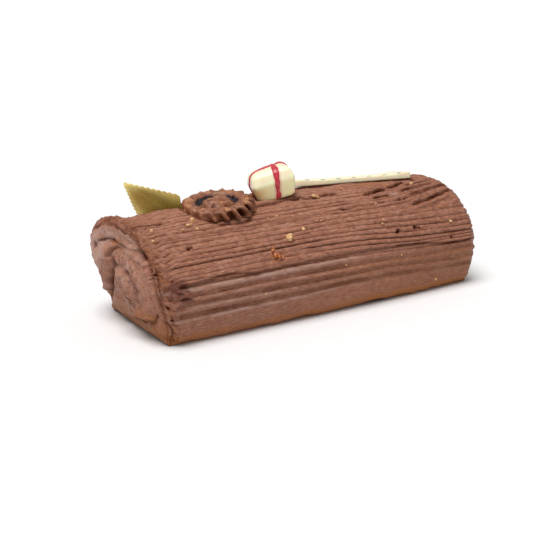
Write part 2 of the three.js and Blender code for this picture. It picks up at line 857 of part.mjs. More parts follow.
function plaqueGeometry(gap) {
  const halfLength = PLAQUE.length / 2 + gap;
  const halfWidth = PLAQUE.width / 2 + gap;
  const half = PLAQUE.thickness / 2 + gap;
  const levels = [
    { height: -half, inset: PLAQUE.bevel },
    { height: -half + PLAQUE.bevel, inset: 0 },
    { height: half - PLAQUE.bevel, inset: 0 },
    { height: half, inset: PLAQUE.bevel },
  ];
  const builder = new MeshBuilder();
  const rings = levels.map(({ height, inset }) => {
    const outline = roundedRectangle(halfLength - inset, halfWidth - inset, PLAQUE.corner - inset, 3);
    return builder.ring(outline.map(([x, y]) => [x, y, height]));
  });
  for (let index = 1; index < rings.length; index += 1) {
    builder.band(rings[index - 1], rings[index]);
  }
  builder.fan(rings[0], [0, 0, -half], true);
  builder.fan(rings[rings.length - 1], [0, 0, half]);
  const geometry = builder.geometry();
  geometry.translate(0, PLAQUE.width / 2, PLAQUE.thickness / 2);
  geometry.rotateX(-radians(PLAQUE.tiltBack));
  geometry.rotateY(radians(PLAQUE.fall));
  geometry.rotateZ(radians(PLAQUE.turn));
  geometry.translate(...PLAQUE.frontMiddle);
  return geometry;
}

// ---------------------------------------------------------------- joining and cutting

// The leaf's right end reaches just over the disc's rim, and is cut away beside it.
function leafSolid() {
  const overRim = 0.8;
  return solidFrom(leafGeometry(0)).subtract(solidFrom(discSpace(overRim)));
}

function logSolid() {
  let solid = solidFrom(logGeometry());
  const pockets = [
    discSpace(32),
    parcelPlacement(parcelBody(TOUCH_GAP + RIBBON.proud)),
    plaqueGeometry(TOUCH_GAP),
    leafGeometry(TOUCH_GAP),
  ];
  for (const pocket of pockets) {
    solid = solid.subtract(solidFrom(pocket));
  }
  [...LARGE_CRUMBS, ...smallCrumbs()].forEach((crumb, index) => {
    solid = solid.add(solidFrom(crumbGeometry(crumb, CRUMB_SEED + index * 3)));
  });
  return solid;
}

// ---------------------------------------------------------------- materials and scene graph

const buttercream = new THREE.MeshStandardMaterial({ color: 0x8e5c49, roughness: 0.55, metalness: 0 });
const milkChocolate = new THREE.MeshStandardMaterial({ color: 0x84523c, roughness: 0.45, metalness: 0 });
const whiteChocolate = new THREE.MeshStandardMaterial({ color: 0xefe2bd, roughness: 0.4, metalness: 0 });
const plaqueChocolate = new THREE.MeshStandardMaterial({ color: 0xf0ecd6, roughness: 0.4, metalness: 0 });
const leafChocolate = new THREE.MeshStandardMaterial({ color: 0x8f7a38, roughness: 0.45, metalness: 0 });

const group = new THREE.Group();

function addPiece(name, geometry, material) {
  const mesh = new THREE.Mesh(geometry, material);
  mesh.name = name;
  group.add(mesh);
}

addPiece('log', geometryFrom(logSolid()), buttercream);
addPiece('leaf', geometryFrom(leafSolid()), leafChocolate);
addPiece('disc', discGeometry(), milkChocolate);
addPiece('parcel', parcelPlacement(geometryFrom(parcelSolid())), whiteChocolate);
addPiece('plaque', plaqueGeometry(0), plaqueChocolate);

export default group;
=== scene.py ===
"""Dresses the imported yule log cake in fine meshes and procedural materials.

The buttercream, crumbs, leaf, fluted disc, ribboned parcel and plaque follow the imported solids.
Lengths are in millimetres, in the solids' frame, until a mesh is made.
A place on the log's side is (x, length), where length runs along the section from the front foot
over the crest to the back foot.
"""

import itertools
import math
from types import SimpleNamespace as Measures

import bpy
import numpy as np
from mathutils import Matrix, Vector


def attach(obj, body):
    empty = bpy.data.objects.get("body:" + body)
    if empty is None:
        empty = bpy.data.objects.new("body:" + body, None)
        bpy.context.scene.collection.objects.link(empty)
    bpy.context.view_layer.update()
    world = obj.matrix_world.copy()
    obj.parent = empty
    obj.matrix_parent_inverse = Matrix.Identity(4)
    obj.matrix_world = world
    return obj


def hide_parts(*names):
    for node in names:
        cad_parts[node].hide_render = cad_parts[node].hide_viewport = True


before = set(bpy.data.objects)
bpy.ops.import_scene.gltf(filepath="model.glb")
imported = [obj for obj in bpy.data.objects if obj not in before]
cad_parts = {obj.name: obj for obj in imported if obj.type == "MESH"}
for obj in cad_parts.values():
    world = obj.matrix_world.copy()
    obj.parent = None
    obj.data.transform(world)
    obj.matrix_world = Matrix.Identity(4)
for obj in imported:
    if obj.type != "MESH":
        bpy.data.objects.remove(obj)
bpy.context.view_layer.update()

MM = 0.001
RIGHTWARDS, BACK, UP = (1, 0, 0), (0, 1, 0), (0, 0, 1)

# ---------------- small helpers


def mix(first, second, share):
    return first + (second - first) * share


def smooth(value, low, high):
    share = np.clip((value - low) / (high - low), 0, 1)
    return share * share * (3 - 2 * share)


def bell(value):
    return np.exp(-np.square(value))


def jitter(index):
    """A repeatable value from 0 to 1 for each whole number."""
    wave = np.sin(np.asarray(index, float) * 12.9898) * 43758.5453
    return wave - np.floor(wave)


def lattice(ix, iy, iz, seed):
    """Repeatable values from -1 to 1 at whole-number places."""
    mixed = (ix * 73856093) ^ (iy * 19349663) ^ (iz * 83492791) ^ (seed * 40503)
    mixed = (mixed ^ (mixed >> 13)) * 1274126177
    return ((mixed ^ (mixed >> 16)) & 0xFFFF) / 32767.5 - 1


def noise(x, y, z=0.0, seed=0):
    """Smooth noise from -1 to 1."""
    x, y, z = np.broadcast_arrays(x, y, z)
    corner = [np.floor(axis).astype(np.int64) for axis in (x, y, z)]
    share = [axis - low for axis, low in zip((x, y, z), corner)]
    fade = [value * value * (3 - 2 * value) for value in share]
    total = 0.0
    for steps in itertools.product((0, 1), repeat=3):
        weight = 1.0
        for axis, step in zip(fade, steps):
            weight = weight * (axis if step else 1 - axis)
        total = total + weight * lattice(*(low + step for low, step in zip(corner, steps)), seed)
    return total


def lumps(points, size, seed):
    """Noise over places in space, with bumps about this far apart."""
    return noise(*split(points / size), seed)


def between(value, start, full, fading, end):
    """Rises from 0 at the start to 1, and falls to 0 again at the end."""
    return smooth(value, start, full) * (1 - smooth(value, fading, end))


def wander(values, seed):
    """Smooth noise from -1 to 1 along one direction."""
    return noise(values, 0.0, seed=seed)


def highest(first, *others):
    """The highest of several values at each place."""
    for other in others:
        first = np.maximum(first, other)
    return first


def spots(first, second, table):
    """Round or oval spots on a plane, from rows of first, second, one or two radii, and amount."""
    total = np.zeros_like(first)
    for middle, level, *radii, amount in table:
        total += amount * bell(np.hypot((first - middle) / radii[0], (second - level) / radii[-1]))
    return total


def turn(axis, degrees):
    """A rotation matrix as an array."""
    return np.array(Matrix.Rotation(math.radians(degrees), 3, Vector(axis).normalized()))


def refine(profile, steps):
    """A smooth curve through the rows of a profile (Catmull-Rom)."""
    rows = np.vstack([2 * profile[0] - profile[1], profile, 2 * profile[-1] - profile[-2]])
    made = []
    for index in range(1, len(rows) - 2):
        before, start, end, after = rows[index - 1 : index + 3]
        for step in range(steps):
            t = step / steps
            curve = 2 * start + (end - before) * t + (2 * before - 5 * start + 4 * end - after) * t**2
            made.append((curve + (3 * start - before - 3 * end + after) * t**3) / 2)
    made.append(profile[-1])
    return np.array(made)


def split(points):
    """The x, y and z of points as three arrays."""
    return points[..., 0], points[..., 1], points[..., 2]


def join(x, y, z):
    """Points from their x, y and z."""
    return np.stack(np.broadcast_arrays(x, y, z), -1)


def full_turn(count):
    """Angles all the way round, as a row."""
    return (np.arange(count) / count * 2 * math.pi)[None, :]


def densify(path, step):
    """Points along a polyline, not much more than a step apart."""
    dense = [path[0]]
    for start, end in zip(path[:-1], path[1:]):
        count = max(1, int(np.linalg.norm(end - start) / step))
        dense += [mix(start, end, index / count) for index in range(1, count + 1)]
    return np.array(dense)


def from_path(first, second, path):
    """Distance of places in a plane from the smooth line through a few points."""
    line = refine(np.array(path, float), 4)
    nearest = np.full(np.shape(first), 1e9)
    for (start, level), (end, next_level) in zip(line[:-1], line[1:]):
        run, climb = end - start, next_level - level
        share = ((first - start) * run + (second - level) * climb) / (run**2 + climb**2)
        share = np.clip(share, 0, 1)
        nearest = np.minimum(nearest, np.hypot(first - start - share * run, second - level - share * climb))
    return nearest


# ---------------- making pieces


def loft_faces(ring_count, ring_size):
    """Quads between closed rings, and fans to one point before the first ring and one after the last."""
    index = np.arange(ring_count * ring_size).reshape(ring_count, ring_size)
    following = np.roll(index, -1, axis=1)
    quads = np.stack([index[:-1], following[:-1], following[1:], index[1:]], -1).reshape(-1, 4)
    first, last = ring_count * ring_size, ring_count * ring_size + 1
    start = [[first, int(b), int(a)] for a, b in zip(index[0], following[0])]
    end = [[last, int(a), int(b)] for a, b in zip(index[-1], following[-1])]
    return quads.tolist() + start + end


def loft(rings, values):
    """Points, faces and values of a closed solid through rings (ring, point, xyz), faces outward."""
    ring_count, ring_size, _ = rings.shape
    tips = np.stack([rings[0].mean(0), rings[-1].mean(0)])
    points = np.concatenate([rings.reshape(-1, 3), tips])
    faces = loft_faces(ring_count, ring_size)
    middle = points.mean(0)
    a, b, c = (points[[face[k] for face in faces]] - middle for k in range(3))
    if np.einsum("ij,ij->i", a, np.cross(b, c)).sum() < 0:
        faces = [face[::-1] for face in faces]
    spread = {}
    for key, data in values.items():
        spread[key] = np.concatenate([data.ravel(), [data[0].mean(), data[-1].mean()]])
    return points, faces, spread


def add_object(name, data):
    made = bpy.data.objects.new(name, data)
    bpy.context.scene.collection.objects.link(made)
    return made


def add_piece(name, parts, material, node):
    """A smooth-shaded piece of the cake in place of a node, lofted from parts.

    A part is its rings in millimetres, and values for their points by name.
    """
    points, faces, values = np.empty((0, 3)), [], {}
    for rings, part_values in parts:
        part_points, part_faces, spread = loft(rings, part_values)
        faces += [[corner + len(points) for corner in face] for face in part_faces]
        points = np.concatenate([points, part_points])
        for key, data in spread.items():
            values[key] = np.append(values.get(key, []), data)
    mesh = bpy.data.meshes.new(name)
    mesh.from_pydata((points * MM).tolist(), [], faces)
    for key, data in values.items():
        mesh.attributes.new(key, "FLOAT", "POINT").data.foreach_set("value", data.astype(np.float32))
    mesh.shade_smooth()
    mesh.materials.append(material)
    piece = add_object(name, mesh)
    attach(piece, "root")
    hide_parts(node)
    return piece


# ---------------- materials


def srgb(red, green, blue):
    """A colour given as screen values from 0 to 255, in Blender's linear terms."""
    values = [channel / 255 for channel in (red, green, blue)]
    linear = [v / 12.92 if v <= 0.04045 else ((v + 0.055) / 1.055) ** 2.4 for v in values]
    return (*linear, 1.0)


# The colour sockets of Blender's mix node, which share their names with its other sockets.
COLOUR_SOCKETS = (6, 7)
COLOUR_OUTPUT = 2


class Finish:
    """A material under construction: a Principled shader and the nodes that feed it."""

    def __init__(self, name, **sockets):
        self.material = bpy.data.materials.new(name)
        self.material.use_nodes = True
        self.tree = self.material.node_tree
        self.shader = self.tree.nodes["Principled BSDF"]
        for socket, value in sockets.items():
            self.shader.inputs[socket.replace("_", " ")].default_value = value
        self.place = self.node("ShaderNodeTexCoord", {}, "Object")

    def node(self, kind, inputs, output=0, **settings):
        """Adds a node with its settings and inputs, and gives back one of its outputs."""
        made = self.tree.nodes.new(kind)
        for key, value in settings.items():
            setattr(made, key, value)
        for key, value in inputs.items():
            self.feed(made.inputs[key], value)
        return made.outputs[output]

    def feed(self, socket, value):
        if isinstance(value, bpy.types.NodeSocket):
            self.tree.links.new(value, socket)
        else:
            socket.default_value = value

    def set(self, socket, value):
        self.feed(self.shader.inputs[socket], value)

    def attribute(self, name):
        return self.node("ShaderNodeAttribute", {}, "Fac", attribute_name=name)

    def grain(self, size, detail=2.0, stretch=(1, 1, 1)):
        """Noise from 0 to 1 with features about this many millimetres wide, drawn out along an axis."""
        scale = [1 / (size * MM * axis) for axis in stretch]
        mapped = self.node("ShaderNodeMapping", {"Vector": self.place, "Scale": scale})
        return self.node("ShaderNodeTexNoise", {"Vector": mapped, "Scale": 1.0, "Detail": detail}, "Fac")

    def ramp(self, value, low, high, start=0.0, end=1.0):
        inputs = {"Value": value, "From Min": low, "From Max": high, "To Min": start, "To Max": end}
        return self.node("ShaderNodeMapRange", inputs, "Result")

    def times(self, first, second):
        return self.node("ShaderNodeMath", {0: first, 1: second}, operation="MULTIPLY")

    def blend(self, share, first, second):
        inputs = {"Factor": share, COLOUR_SOCKETS[0]: first, COLOUR_SOCKETS[1]: second}
        return self.node("ShaderNodeMix", inputs, COLOUR_OUTPUT, data_type="RGBA")

    def tint(self, colour, **tones):
        """Lays tones over a colour, each as strong as the attribute of its name."""
        for name, tone in tones.items():
            colour = self.blend(self.attribute(name), colour, srgb(*tone))
        return colour

    def bump(self, *layers):
        """Layers of (height, millimetres deep), each on top of the one before."""
        before = {}
        for height, depth in layers:
            inputs = {"Height": height, "Strength": 1.0, "Distance": depth * MM, **before}
            before = {"Normal": self.node("ShaderNodeBump", inputs, "Normal")}
        self.set("Normal", before["Normal"])


def buttercream_finish():
    finish = Finish("buttercream", Roughness=0.48)
    mottled = finish.ramp(finish.grain(5, 3), 0.35, 0.65)
    fine = finish.ramp(finish.grain(1.0, 3, (4, 1, 1)), 0.4, 0.62)
    flecks = finish.ramp(finish.grain(0.8, 2, (4, 1, 1)), 0.55, 0.7)
    colour = finish.blend(mottled, srgb(153, 99, 76), srgb(170, 115, 89))
    colour = finish.blend(finish.times(fine, 0.55), colour, srgb(124, 73, 53))
    colour = finish.blend(finish.times(flecks, 0.5), colour, srgb(200, 154, 132))
    # Tints: a pale grey-pink where the cream is paler and drier, and as painted highlight on the flank rolls'
    # edges and painted sheen on the ends; a warm tan and a plum smear of the cream's own colour.
    colour = finish.tint(colour, bloom=(182, 144, 129), warm=(172, 108, 58), plum=(100, 46, 32))
    # Painted shade: a dark red-brown over the grooves, creases, pits, seams, the contacts with the toppings,
    # the lower flank and under the torn foot.
    finish.set("Base Color", finish.tint(colour, hollow=(62, 22, 9)))
    # Where the painted shade lies, the specular is taken away too.
    finish.set("Specular IOR Level", finish.ramp(finish.attribute("hollow"), 0, 0.8, 0.35, 0))
    finish.bump((finish.grain(0.7, 2, (9, 1, 1)), 0.35), (finish.grain(1.0, 4), 0.4))
    return finish.material


def crumb_finish():
    finish = Finish("toasted_nut", Roughness=0.5)
    colour = finish.blend(finish.attribute("tone"), srgb(230, 192, 140), srgb(176, 108, 58))
    speckle = finish.ramp(finish.grain(1.2, 2), 0.45, 0.6)
    finish.set("Base Color", finish.blend(finish.times(speckle, 0.55), colour, srgb(176, 122, 70)))
    finish.bump((finish.grain(0.5, 2), 0.08))
    return finish.material


def mottle(finish, grain, limits, tones, bumps, **tints):
    """Colours a finish in two tones over grains of a size, with tints and bumps on top.

    A bump is a grain or the name of an attribute, with its depth in millimetres.
    """
    share = finish.ramp(finish.grain(*grain), *limits)
    colour = finish.blend(share, srgb(*tones[0]), srgb(*tones[1]))
    finish.set("Base Color", finish.tint(colour, **tints))
    if bumps:
        heights = [finish.attribute(key) if isinstance(key, str) else finish.grain(*key) for key, _ in bumps]
        finish.bump(*[(height, depth) for height, (_, depth) in zip(heights, bumps)])
    return finish.material


def caramel_finish():
    finish = Finish("caramel", Roughness=0.45)
    return mottle(finish, (1.6, 2), (0.4, 0.6), [(116, 46, 24), (194, 116, 58)], [])


def leaf_finish():
    finish = Finish("gold_leaf_chocolate", Roughness=0.42, Subsurface_Weight=0.15, Subsurface_Scale=0.002)
    tones = [(166, 138, 52), (180, 150, 60)]
    bumps = [((2.5, 2), 0.1), ("vein", 0.3)]
    # The deep tint is painted shade towards the root and the right; the edge tint is a painted glow along the
    # thin edges and at the tip.
    return mottle(finish, (9, 2), (0.35, 0.65), tones, bumps, deep=(120, 98, 8), edge=(240, 218, 134))


def disc_finish():
    finish = Finish("milk_chocolate", Roughness=0.42)
    # Painted shade: a dark brown with no specular in the flute gaps, the sunken ring and the low spots.
    finish.set("Specular IOR Level", finish.ramp(finish.attribute("hollow"), 0, 0.7, 0.45, 0))
    tones = [(120, 68, 44), (154, 99, 71)]
    bumps = [((1.0, 3), 0.2)]
    return mottle(finish, (3, 3), (0.35, 0.65), tones, bumps, gold=(188, 132, 86), hollow=(48, 18, 8))


def glaze_finish():
    finish = Finish("dark_glaze", Roughness=0.32, Specular_IOR_Level=0.15)
    return mottle(finish, (1.8, 2), (0.45, 0.62), [(14, 6, 6), (52, 38, 44)], [((1.3, 3), 0.5)])


def white_chocolate_finish(name, **tints):
    finish = Finish(name, Roughness=0.36, Subsurface_Weight=0.5, Subsurface_Scale=0.004)
    tones = [(244, 233, 196), (248, 240, 208)]
    return mottle(finish, (7, 2), (0.35, 0.65), tones, [((2.2, 2), 0.08)], **tints)


def ribbon_finish():
    finish = Finish("red_ribbon", Roughness=0.3)
    return mottle(finish, (1.6, 2), (0.35, 0.65), [(176, 34, 46), (206, 62, 76)], [((1.0, 2), 0.12)])


# ---------------- section of the log

# Above and below the waist, the section is a part of a superellipse; the lower one is cut by the ground.
HALF_WIDTH = 50
TOP_HEIGHT = 75.5
WAIST_HEIGHT = 29
LOWER_REACH = 46
UPPER_POWER = 2.1
LOWER_POWER = 2.5
# The foot turns in by this share of the width, below this height.
FOOT_TUCK = 0.03
FOOT_ROUND = 2.5
# The normal is taken between points this far to either side.
NORMAL_STEP = 0.6
# The right end is narrower and lower by these shares.
NARROWING = 0.04
TOP_DROP = 0.09


def section_table():
    """The D-shaped section as arrays of across, height and length along it."""
    foot_angle = math.asin((WAIST_HEIGHT / LOWER_REACH) ** (LOWER_POWER / 2))
    angle = np.linspace(-foot_angle, math.pi + foot_angle, 721)
    lower = np.sin(angle) < 0
    power = 2 / np.where(lower, LOWER_POWER, UPPER_POWER)
    reach = np.where(lower, LOWER_REACH, TOP_HEIGHT - WAIST_HEIGHT)
    rise = np.abs(np.sin(angle)) ** power * np.where(lower, -1, 1)
    height = np.maximum(0, WAIST_HEIGHT + reach * rise)
    tuck = FOOT_TUCK * np.maximum(0, 1 - height / FOOT_ROUND) ** 2
    across = -np.sign(np.cos(angle)) * HALF_WIDTH * np.abs(np.cos(angle)) ** power * (1 - tuck)
    length = np.concatenate([[0], np.cumsum(np.hypot(np.diff(across), np.diff(height)))])
    return across, height, length


SECTION = section_table()
PERIMETER = SECTION[2][-1]
CREST = PERIMETER / 2


def on_section(length):
    return [np.interp(length, SECTION[2], values) for values in SECTION[:2]]


def section_at(length):
    """Across and height of the bare section, and its outward normal."""
    across, height = on_section(length)
    behind, ahead = on_section(length - NORMAL_STEP), on_section(length + NORMAL_STEP)
    d_across, d_height = ahead[0] - behind[0], ahead[1] - behind[1]
    along = np.hypot(d_across, d_height)
    return across, height, -d_height / along, d_across / along


def tapered(across, height, x):
    """The log narrows and drops a little towards its right end."""
    above = np.maximum(0, height - WAIST_HEIGHT)
    narrow = across * (1 - NARROWING * smooth(x, 40, STROKE_RIGHT))
    return narrow, height - above * TOP_DROP * smooth(x, 30, STROKE_RIGHT + 10)


def length_at_direction(direction):
    """Where a direction from the waist meets the section: 0 is the front and 90 the top."""
    angle = np.degrees(np.arctan2(SECTION[1] - WAIST_HEIGHT, -SECTION[0]))
    angle = np.where(angle < -90, angle + 360, angle)
    return np.interp(direction, angle, SECTION[2])


# ---------------- strokes of the comb

STROKE_LEFT = -130
STROKE_RIGHT = 125
# Widths of the broad rolls of the flank, from the foot up.
FLANK_ROLLS = [22, 7, 6, 7.3]
# A roll of the flank swells towards its upper edge and turns back in just under it.
FLANK_RETURN = 1.6
COMB_PITCH = 3.4
FLANK_HEIGHT = 1.2
COMB_HEIGHT = 0.8
# Spacing of the points across the rolls, and how strongly they gather at the grooves.
FLANK_SPACING = {"front": 0.7, "back": 1.2}
COMB_POINTS = {"front": 7, "back": 4}
GATHER = 0.11
# The side that faces away from the photo starts this far past the crest.
BACK_START = 22
# Each fan of strokes: place along the section, reach, move, and the x it runs between.
STROKE_FAN = [(84, 13, 11, 55, 122), (52, 12, -7, -20, 122), (28, 11, -4.8, 20, 112)]


def groove_lengths():
    flank = sum(FLANK_ROLLS)
    comb_span = PERIMETER - 2 * flank
    comb_count = round(comb_span / COMB_PITCH)
    comb = mix(0.8, 1.2, jitter(np.arange(comb_count) + 3))
    widths = np.concatenate([FLANK_ROLLS, comb * comb_span / comb.sum(), FLANK_ROLLS[::-1]])
    return np.concatenate([[0], np.cumsum(widths)])


GROOVES = groove_lengths()
ROLL_COUNT = len(GROOVES) - 1
ROLLS = np.arange(ROLL_COUNT)
FROM_FOOT = np.minimum(ROLLS, ROLL_COUNT - 1 - ROLLS)
IS_FIRST = FROM_FOOT == 0
IS_FLANK = FROM_FOOT < len(FLANK_ROLLS)
WIDTHS = np.diff(GROOVES)


def fan_shift(length, x):
    shift = 0.0
    for place, reach, move, start, end in STROKE_FAN:
        shift = shift + move * bell((length - place) / reach) * smooth(x, start, end)
    return shift


def groove_wave(index, seed, wavelength, x):
    return np.sin(x / wavelength + 2 * math.pi * jitter(index + seed))


def grooves_at(x):
    """The grooves' lengths along the section, as (x, groove), for a column of x."""
    index = np.arange(ROLL_COUNT + 1)
    wobble = 0.4 * groove_wave(index, 50, 31, x) + 0.2 * groove_wave(index, 90, 12.3, x)
    moved = GROOVES + wobble + fan_shift(GROOVES, x)
    return np.where((index == 0) | (index == ROLL_COUNT), GROOVES, moved)


def roll_heights(x):
    base = np.where(IS_FLANK, FLANK_HEIGHT, COMB_HEIGHT)
    along = 1 + 0.25 * groove_wave(ROLLS, 31, 19, x)
    return base * mix(0.7, 1.3, jitter(ROLLS + 7)) * along


def section_shares():
    """The rolls and the shares across them at which the section has points, closest at the grooves."""
    rolls, shares = [], []
    for roll in range(ROLL_COUNT):
        half = "back" if GROOVES[roll] > CREST + BACK_START else "front"
        count = round(WIDTHS[roll] / FLANK_SPACING[half]) if IS_FLANK[roll] else COMB_POINTS[half]
        step = np.arange(count) / count
        gather = 0 if IS_FIRST[roll] else GATHER
        rolls += [roll] * count
        shares += list(step - gather * np.sin(2 * math.pi * step))
    return np.array(rolls), np.array(shares)


# ---------------- marks in the buttercream

# Torn strokes and cracks: their (x, length) points, width and depth.
GOUGES = [
    ([(49, 88.6), (57, 89.4), (64, 91), (71, 91.6)], 1.2, 2.3),
    ([(73, 92.8), (79, 94.6), (86, 97), (93, 98.6)], 1.2, 1.8),
    ([(53, 83), (60, 83.3), (68, 83.4)], 0.75, 1.9),
    ([(80, 72.3), (90, 73.2), (100, 76), (110, 78.8), (124, 82.2)], 1.4, 1.7),
    ([(86, 82.2), (95, 83.8), (102, 85.3), (110, 87.8), (124, 89.6)], 1.5, 1.6),
    ([(80, 87), (92, 89.8), (100, 91.3), (116, 94.4)], 1.3, 1.3),
    ([(70, 77.5), (80, 79.5), (85, 81), (90, 84.6)], 1.0, 1.0),
    ([(82, 67.4), (95, 68.8), (104, 71.6), (118, 74.4)], 1.3, 1.0),
    ([(90, 94.2), (105, 97.2), (120, 99.4)], 1.1, 0.9),
    ([(-117, 41.2), (-113, 39.6), (-110, 36.8)], 0.7, 0.7),
    ([(-116, 42.6), (-110, 43.2)], 0.9, 1.7),
    ([(-119.5, 39.6), (-115.5, 38.4)], 0.8, 1.8),
    ([(56, 76.3), (61, 78)], 0.6, 0.7),
    ([(20, 76.5), (29, 75.6)], 0.9, 1.7),
    ([(-38.6, 93.2), (-30, 94), (-19.7, 94.4), (-5, 95), (12, 93.4), (31, 95)], 1.2, 1.4),
    ([(101, 38), (110, 37), (121, 37.2)], 0.8, 1.0),
    ([(-132, 88), (-127, 92), (-119, 93.8), (-104, 94)], 0.9, 1.2),
    ([(-117.5, 34.8), (-113, 34.4), (-109.5, 33)], 1.3, 2.4),
    ([(-7, 47.6), (-3, 44.8)], 0.6, 0.9),
    ([(-47, 77), (-41.5, 77)], 0.6, 0.9),
]

# The fan of wide strokes near the right end: its grooves' lengths at one x, and their slope.
FAN_GROOVES = [62, 66, 69.4, 74.4, 77.9, 81.1, 86, 90.2, 94.3, 98.6, 102.7, 107]
FAN_X = 92
FAN_SLOPE = 0.25
# It starts between these x, and it fades in and out between these lengths.
FAN_START = (70, 90)
FAN_SPAN = (64, 71, 101, 108)

# The edge along the whole front where the comb strokes overlap the flank, as (x, length) points.
FRONT_EDGE = [(-116, 42.6), (-101, 44.9), (-86, 46.2), (-75, 45.8), (-63, 43.8), (-20, 44.8), (-5, 44.6)]
FRONT_EDGE += [(30, 43.8), (60, 43.2), (70, 42.4), (90, 39.8), (101, 38.4), (120, 38)]
# Overlapping strokes, each raised above its lower edge: (x, length) points, rise and the width of
# the band under the edge, which dips a little and gets painted shade.
LIPS = [
    (FRONT_EDGE, 0.9, 1.1),
    ([(-124, 55.4), (-90, 56.3), (-60, 55.8), (-30, 56.4), (-5, 57)], 0.5, 0.45),
    ([(-20, 53), (-10, 52.7), (32, 50.8), (73, 47.2), (118, 46.2)], 0.4, 0.45),
    ([(-125, 75.2), (-90, 75.6), (-40, 74.6), (10, 75.4)], 0.35, 0.45),
    ([(-117, 44.2), (-85, 43.8), (-58, 43.4)], 0, 1.0),
]
LIP_REACH = 5

# Pits: x, length, radius and depth.
PITS = [
    (-103, 66.4, 1.4, 1.7),
    (-100.8, 66.9, 1.1, 1.2),
    (57, 52.8, 1.9, 1.7),
    (72.2, 53.6, 2.0, 1.9),
    (76, 52.8, 0.9, 0.8),
    (22, 60.3, 0.7, 0.6),
    (102.5, 41.5, 1.2, 0.9),
    (-129, 54, 0.9, 0.9),
    (-127.5, 21.5, 1.1, 1.0),
    (-121, 47.5, 0.8, 0.8),
    (-127.8, 31, 0.9, 0.9),
]

# Raised lumps: x, length, radius and height.
KNOBS = [
    (-112.5, 36.4, 2.2, 1.7),
    (-118, 38.5, 2.4, 1.0),
    (70, 85.5, 2.4, 0.9),
    (-122, 31, 2.4, 0.5),
    (-5.2, 46.6, 1.0, 0.9),
]


def along_path(path, x, length):
    """How far above a path each place lies, and where the path runs, fading at its ends."""
    places = np.array(path, float)
    window = between(x, path[0][0] - 3, path[0][0] + 3, path[-1][0] - 3, path[-1][0] + 3)
    return length - np.interp(x, places[:, 0], places[:, 1]), window


def marks(x, length):
    """Height added by the named marks, and their painted shade from 0 to 1."""
    rise = spots(x, length, KNOBS)
    hollow = [np.zeros_like(length)]
    ragged = 1 + 0.4 * noise(x / 2.5, length / 3, seed=5) + 0.25 * noise(x / 9, length / 9, seed=6)
    for path, width, depth in GOUGES:
        above, window = along_path(path, x, length)
        above = (above + 0.5 * wander(x / 4, 8)) / (width * ragged * mix(0.4, 1, window))
        shape = window * np.where(above > 0, bell(above / 0.5), bell(above / 1.3))
        rise -= depth * shape - 0.35 * depth * window * bell((above - 1.5) / 0.7)
        hollow.append(window * bell((above - 0.1) / 0.8) * min(0.95, depth / 1.9))
    for path, height, band in LIPS:
        above, window = along_path(path, x, length)
        above = above - 0.25 * wander(x / 5, 7)
        rise += height * window * smooth(above, -0.3, 0.35) * bell(np.maximum(0, above) / LIP_REACH)
        edge = window * bell((above + 0.8 * band) / band)
        rise -= 0.4 * edge
        hollow.append(0.55 * edge)
    for place, at, radius, depth in PITS:
        away = np.hypot((x - place) / 1.25, length - at) / (radius * ragged)
        amount = 1 - smooth(away, 0.6, 1.2)
        rise -= depth * amount
        hollow.append(amount)
    return rise, highest(*hollow)


# ---------------- ends of the log

# Each end bulges beyond its rim, and the side rolls in over the rim by an inset. The left end leans
# out with its height, and again near the top. The right end has a belly.
LEFT = Measures(foot=-122, lean=9, top_lean=5, bulge=7.5, inset=3.2, roll=7, rings=38)
RIGHT = Measures(foot=122, belly=4, bulge=6, inset=2, roll=5, rings=22)
# The upper back corner of the left end reaches out.
EAR = Measures(across=36, height=60, reach=21, out=7.9)
CAP_CENTRE_HEIGHT = 35
# The mean way over an end from its rim to its middle.
CAP_REACH = 46
# The fine lines of an end turn about this place, across and height.
SWIRL_MIDDLE = (-10, 31)


def left_face(across, height):
    from_ear = np.hypot(across - EAR.across, height - EAR.height) / EAR.reach
    lean = LEFT.lean * smooth(height, 0, 46) + LEFT.top_lean * smooth(height, 58, 78)
    return LEFT.foot - lean - EAR.out * bell(from_ear)


def right_face(across, height):
    return RIGHT.foot + RIGHT.belly * (1 - ((height - 30) / 42) ** 2) + 0 * across


# The forms of the left end, which the right end has too, mirrored and fainter.
# Smeared folds: across, height, half width, half height, angles from and to, width, rise.
END_FOLDS = [
    (-10, 28, 36, 32, -20, 180, 4, 1.6),
    (-10, 28, 42, 37, 40, 140, 2.6, -1.1),
    (40, 50, 36.5, 36.5, -85, -3, 2.8, -1.9),
    (40, 50, 27, 27, -85, 10, 3, 1.1),
    (40, 50, 20, 20, -80, -30, 2.6, -1.2),
    (-15, 36, 10, 8, -180, 180, 7, 2.0),
    (-12, 36, 27, 21, -80, -5, 3, 1.2),
]

# Lobes: across, height, radius and rise.
END_LOBES = [
    (-32, 21, 3.6, 2.2),
    (-27, 15, 3.0, -1.6),
    (-22, 21, 4.0, 1.6),
    (-12, 17, 4.5, 1.4),
    (-38, 14, 3.4, 1.3),
    (4, 22, 4.5, -1.5),
    (16, 17, 5.0, 1.5),
    (-4, 33, 4.0, -1.4),
]

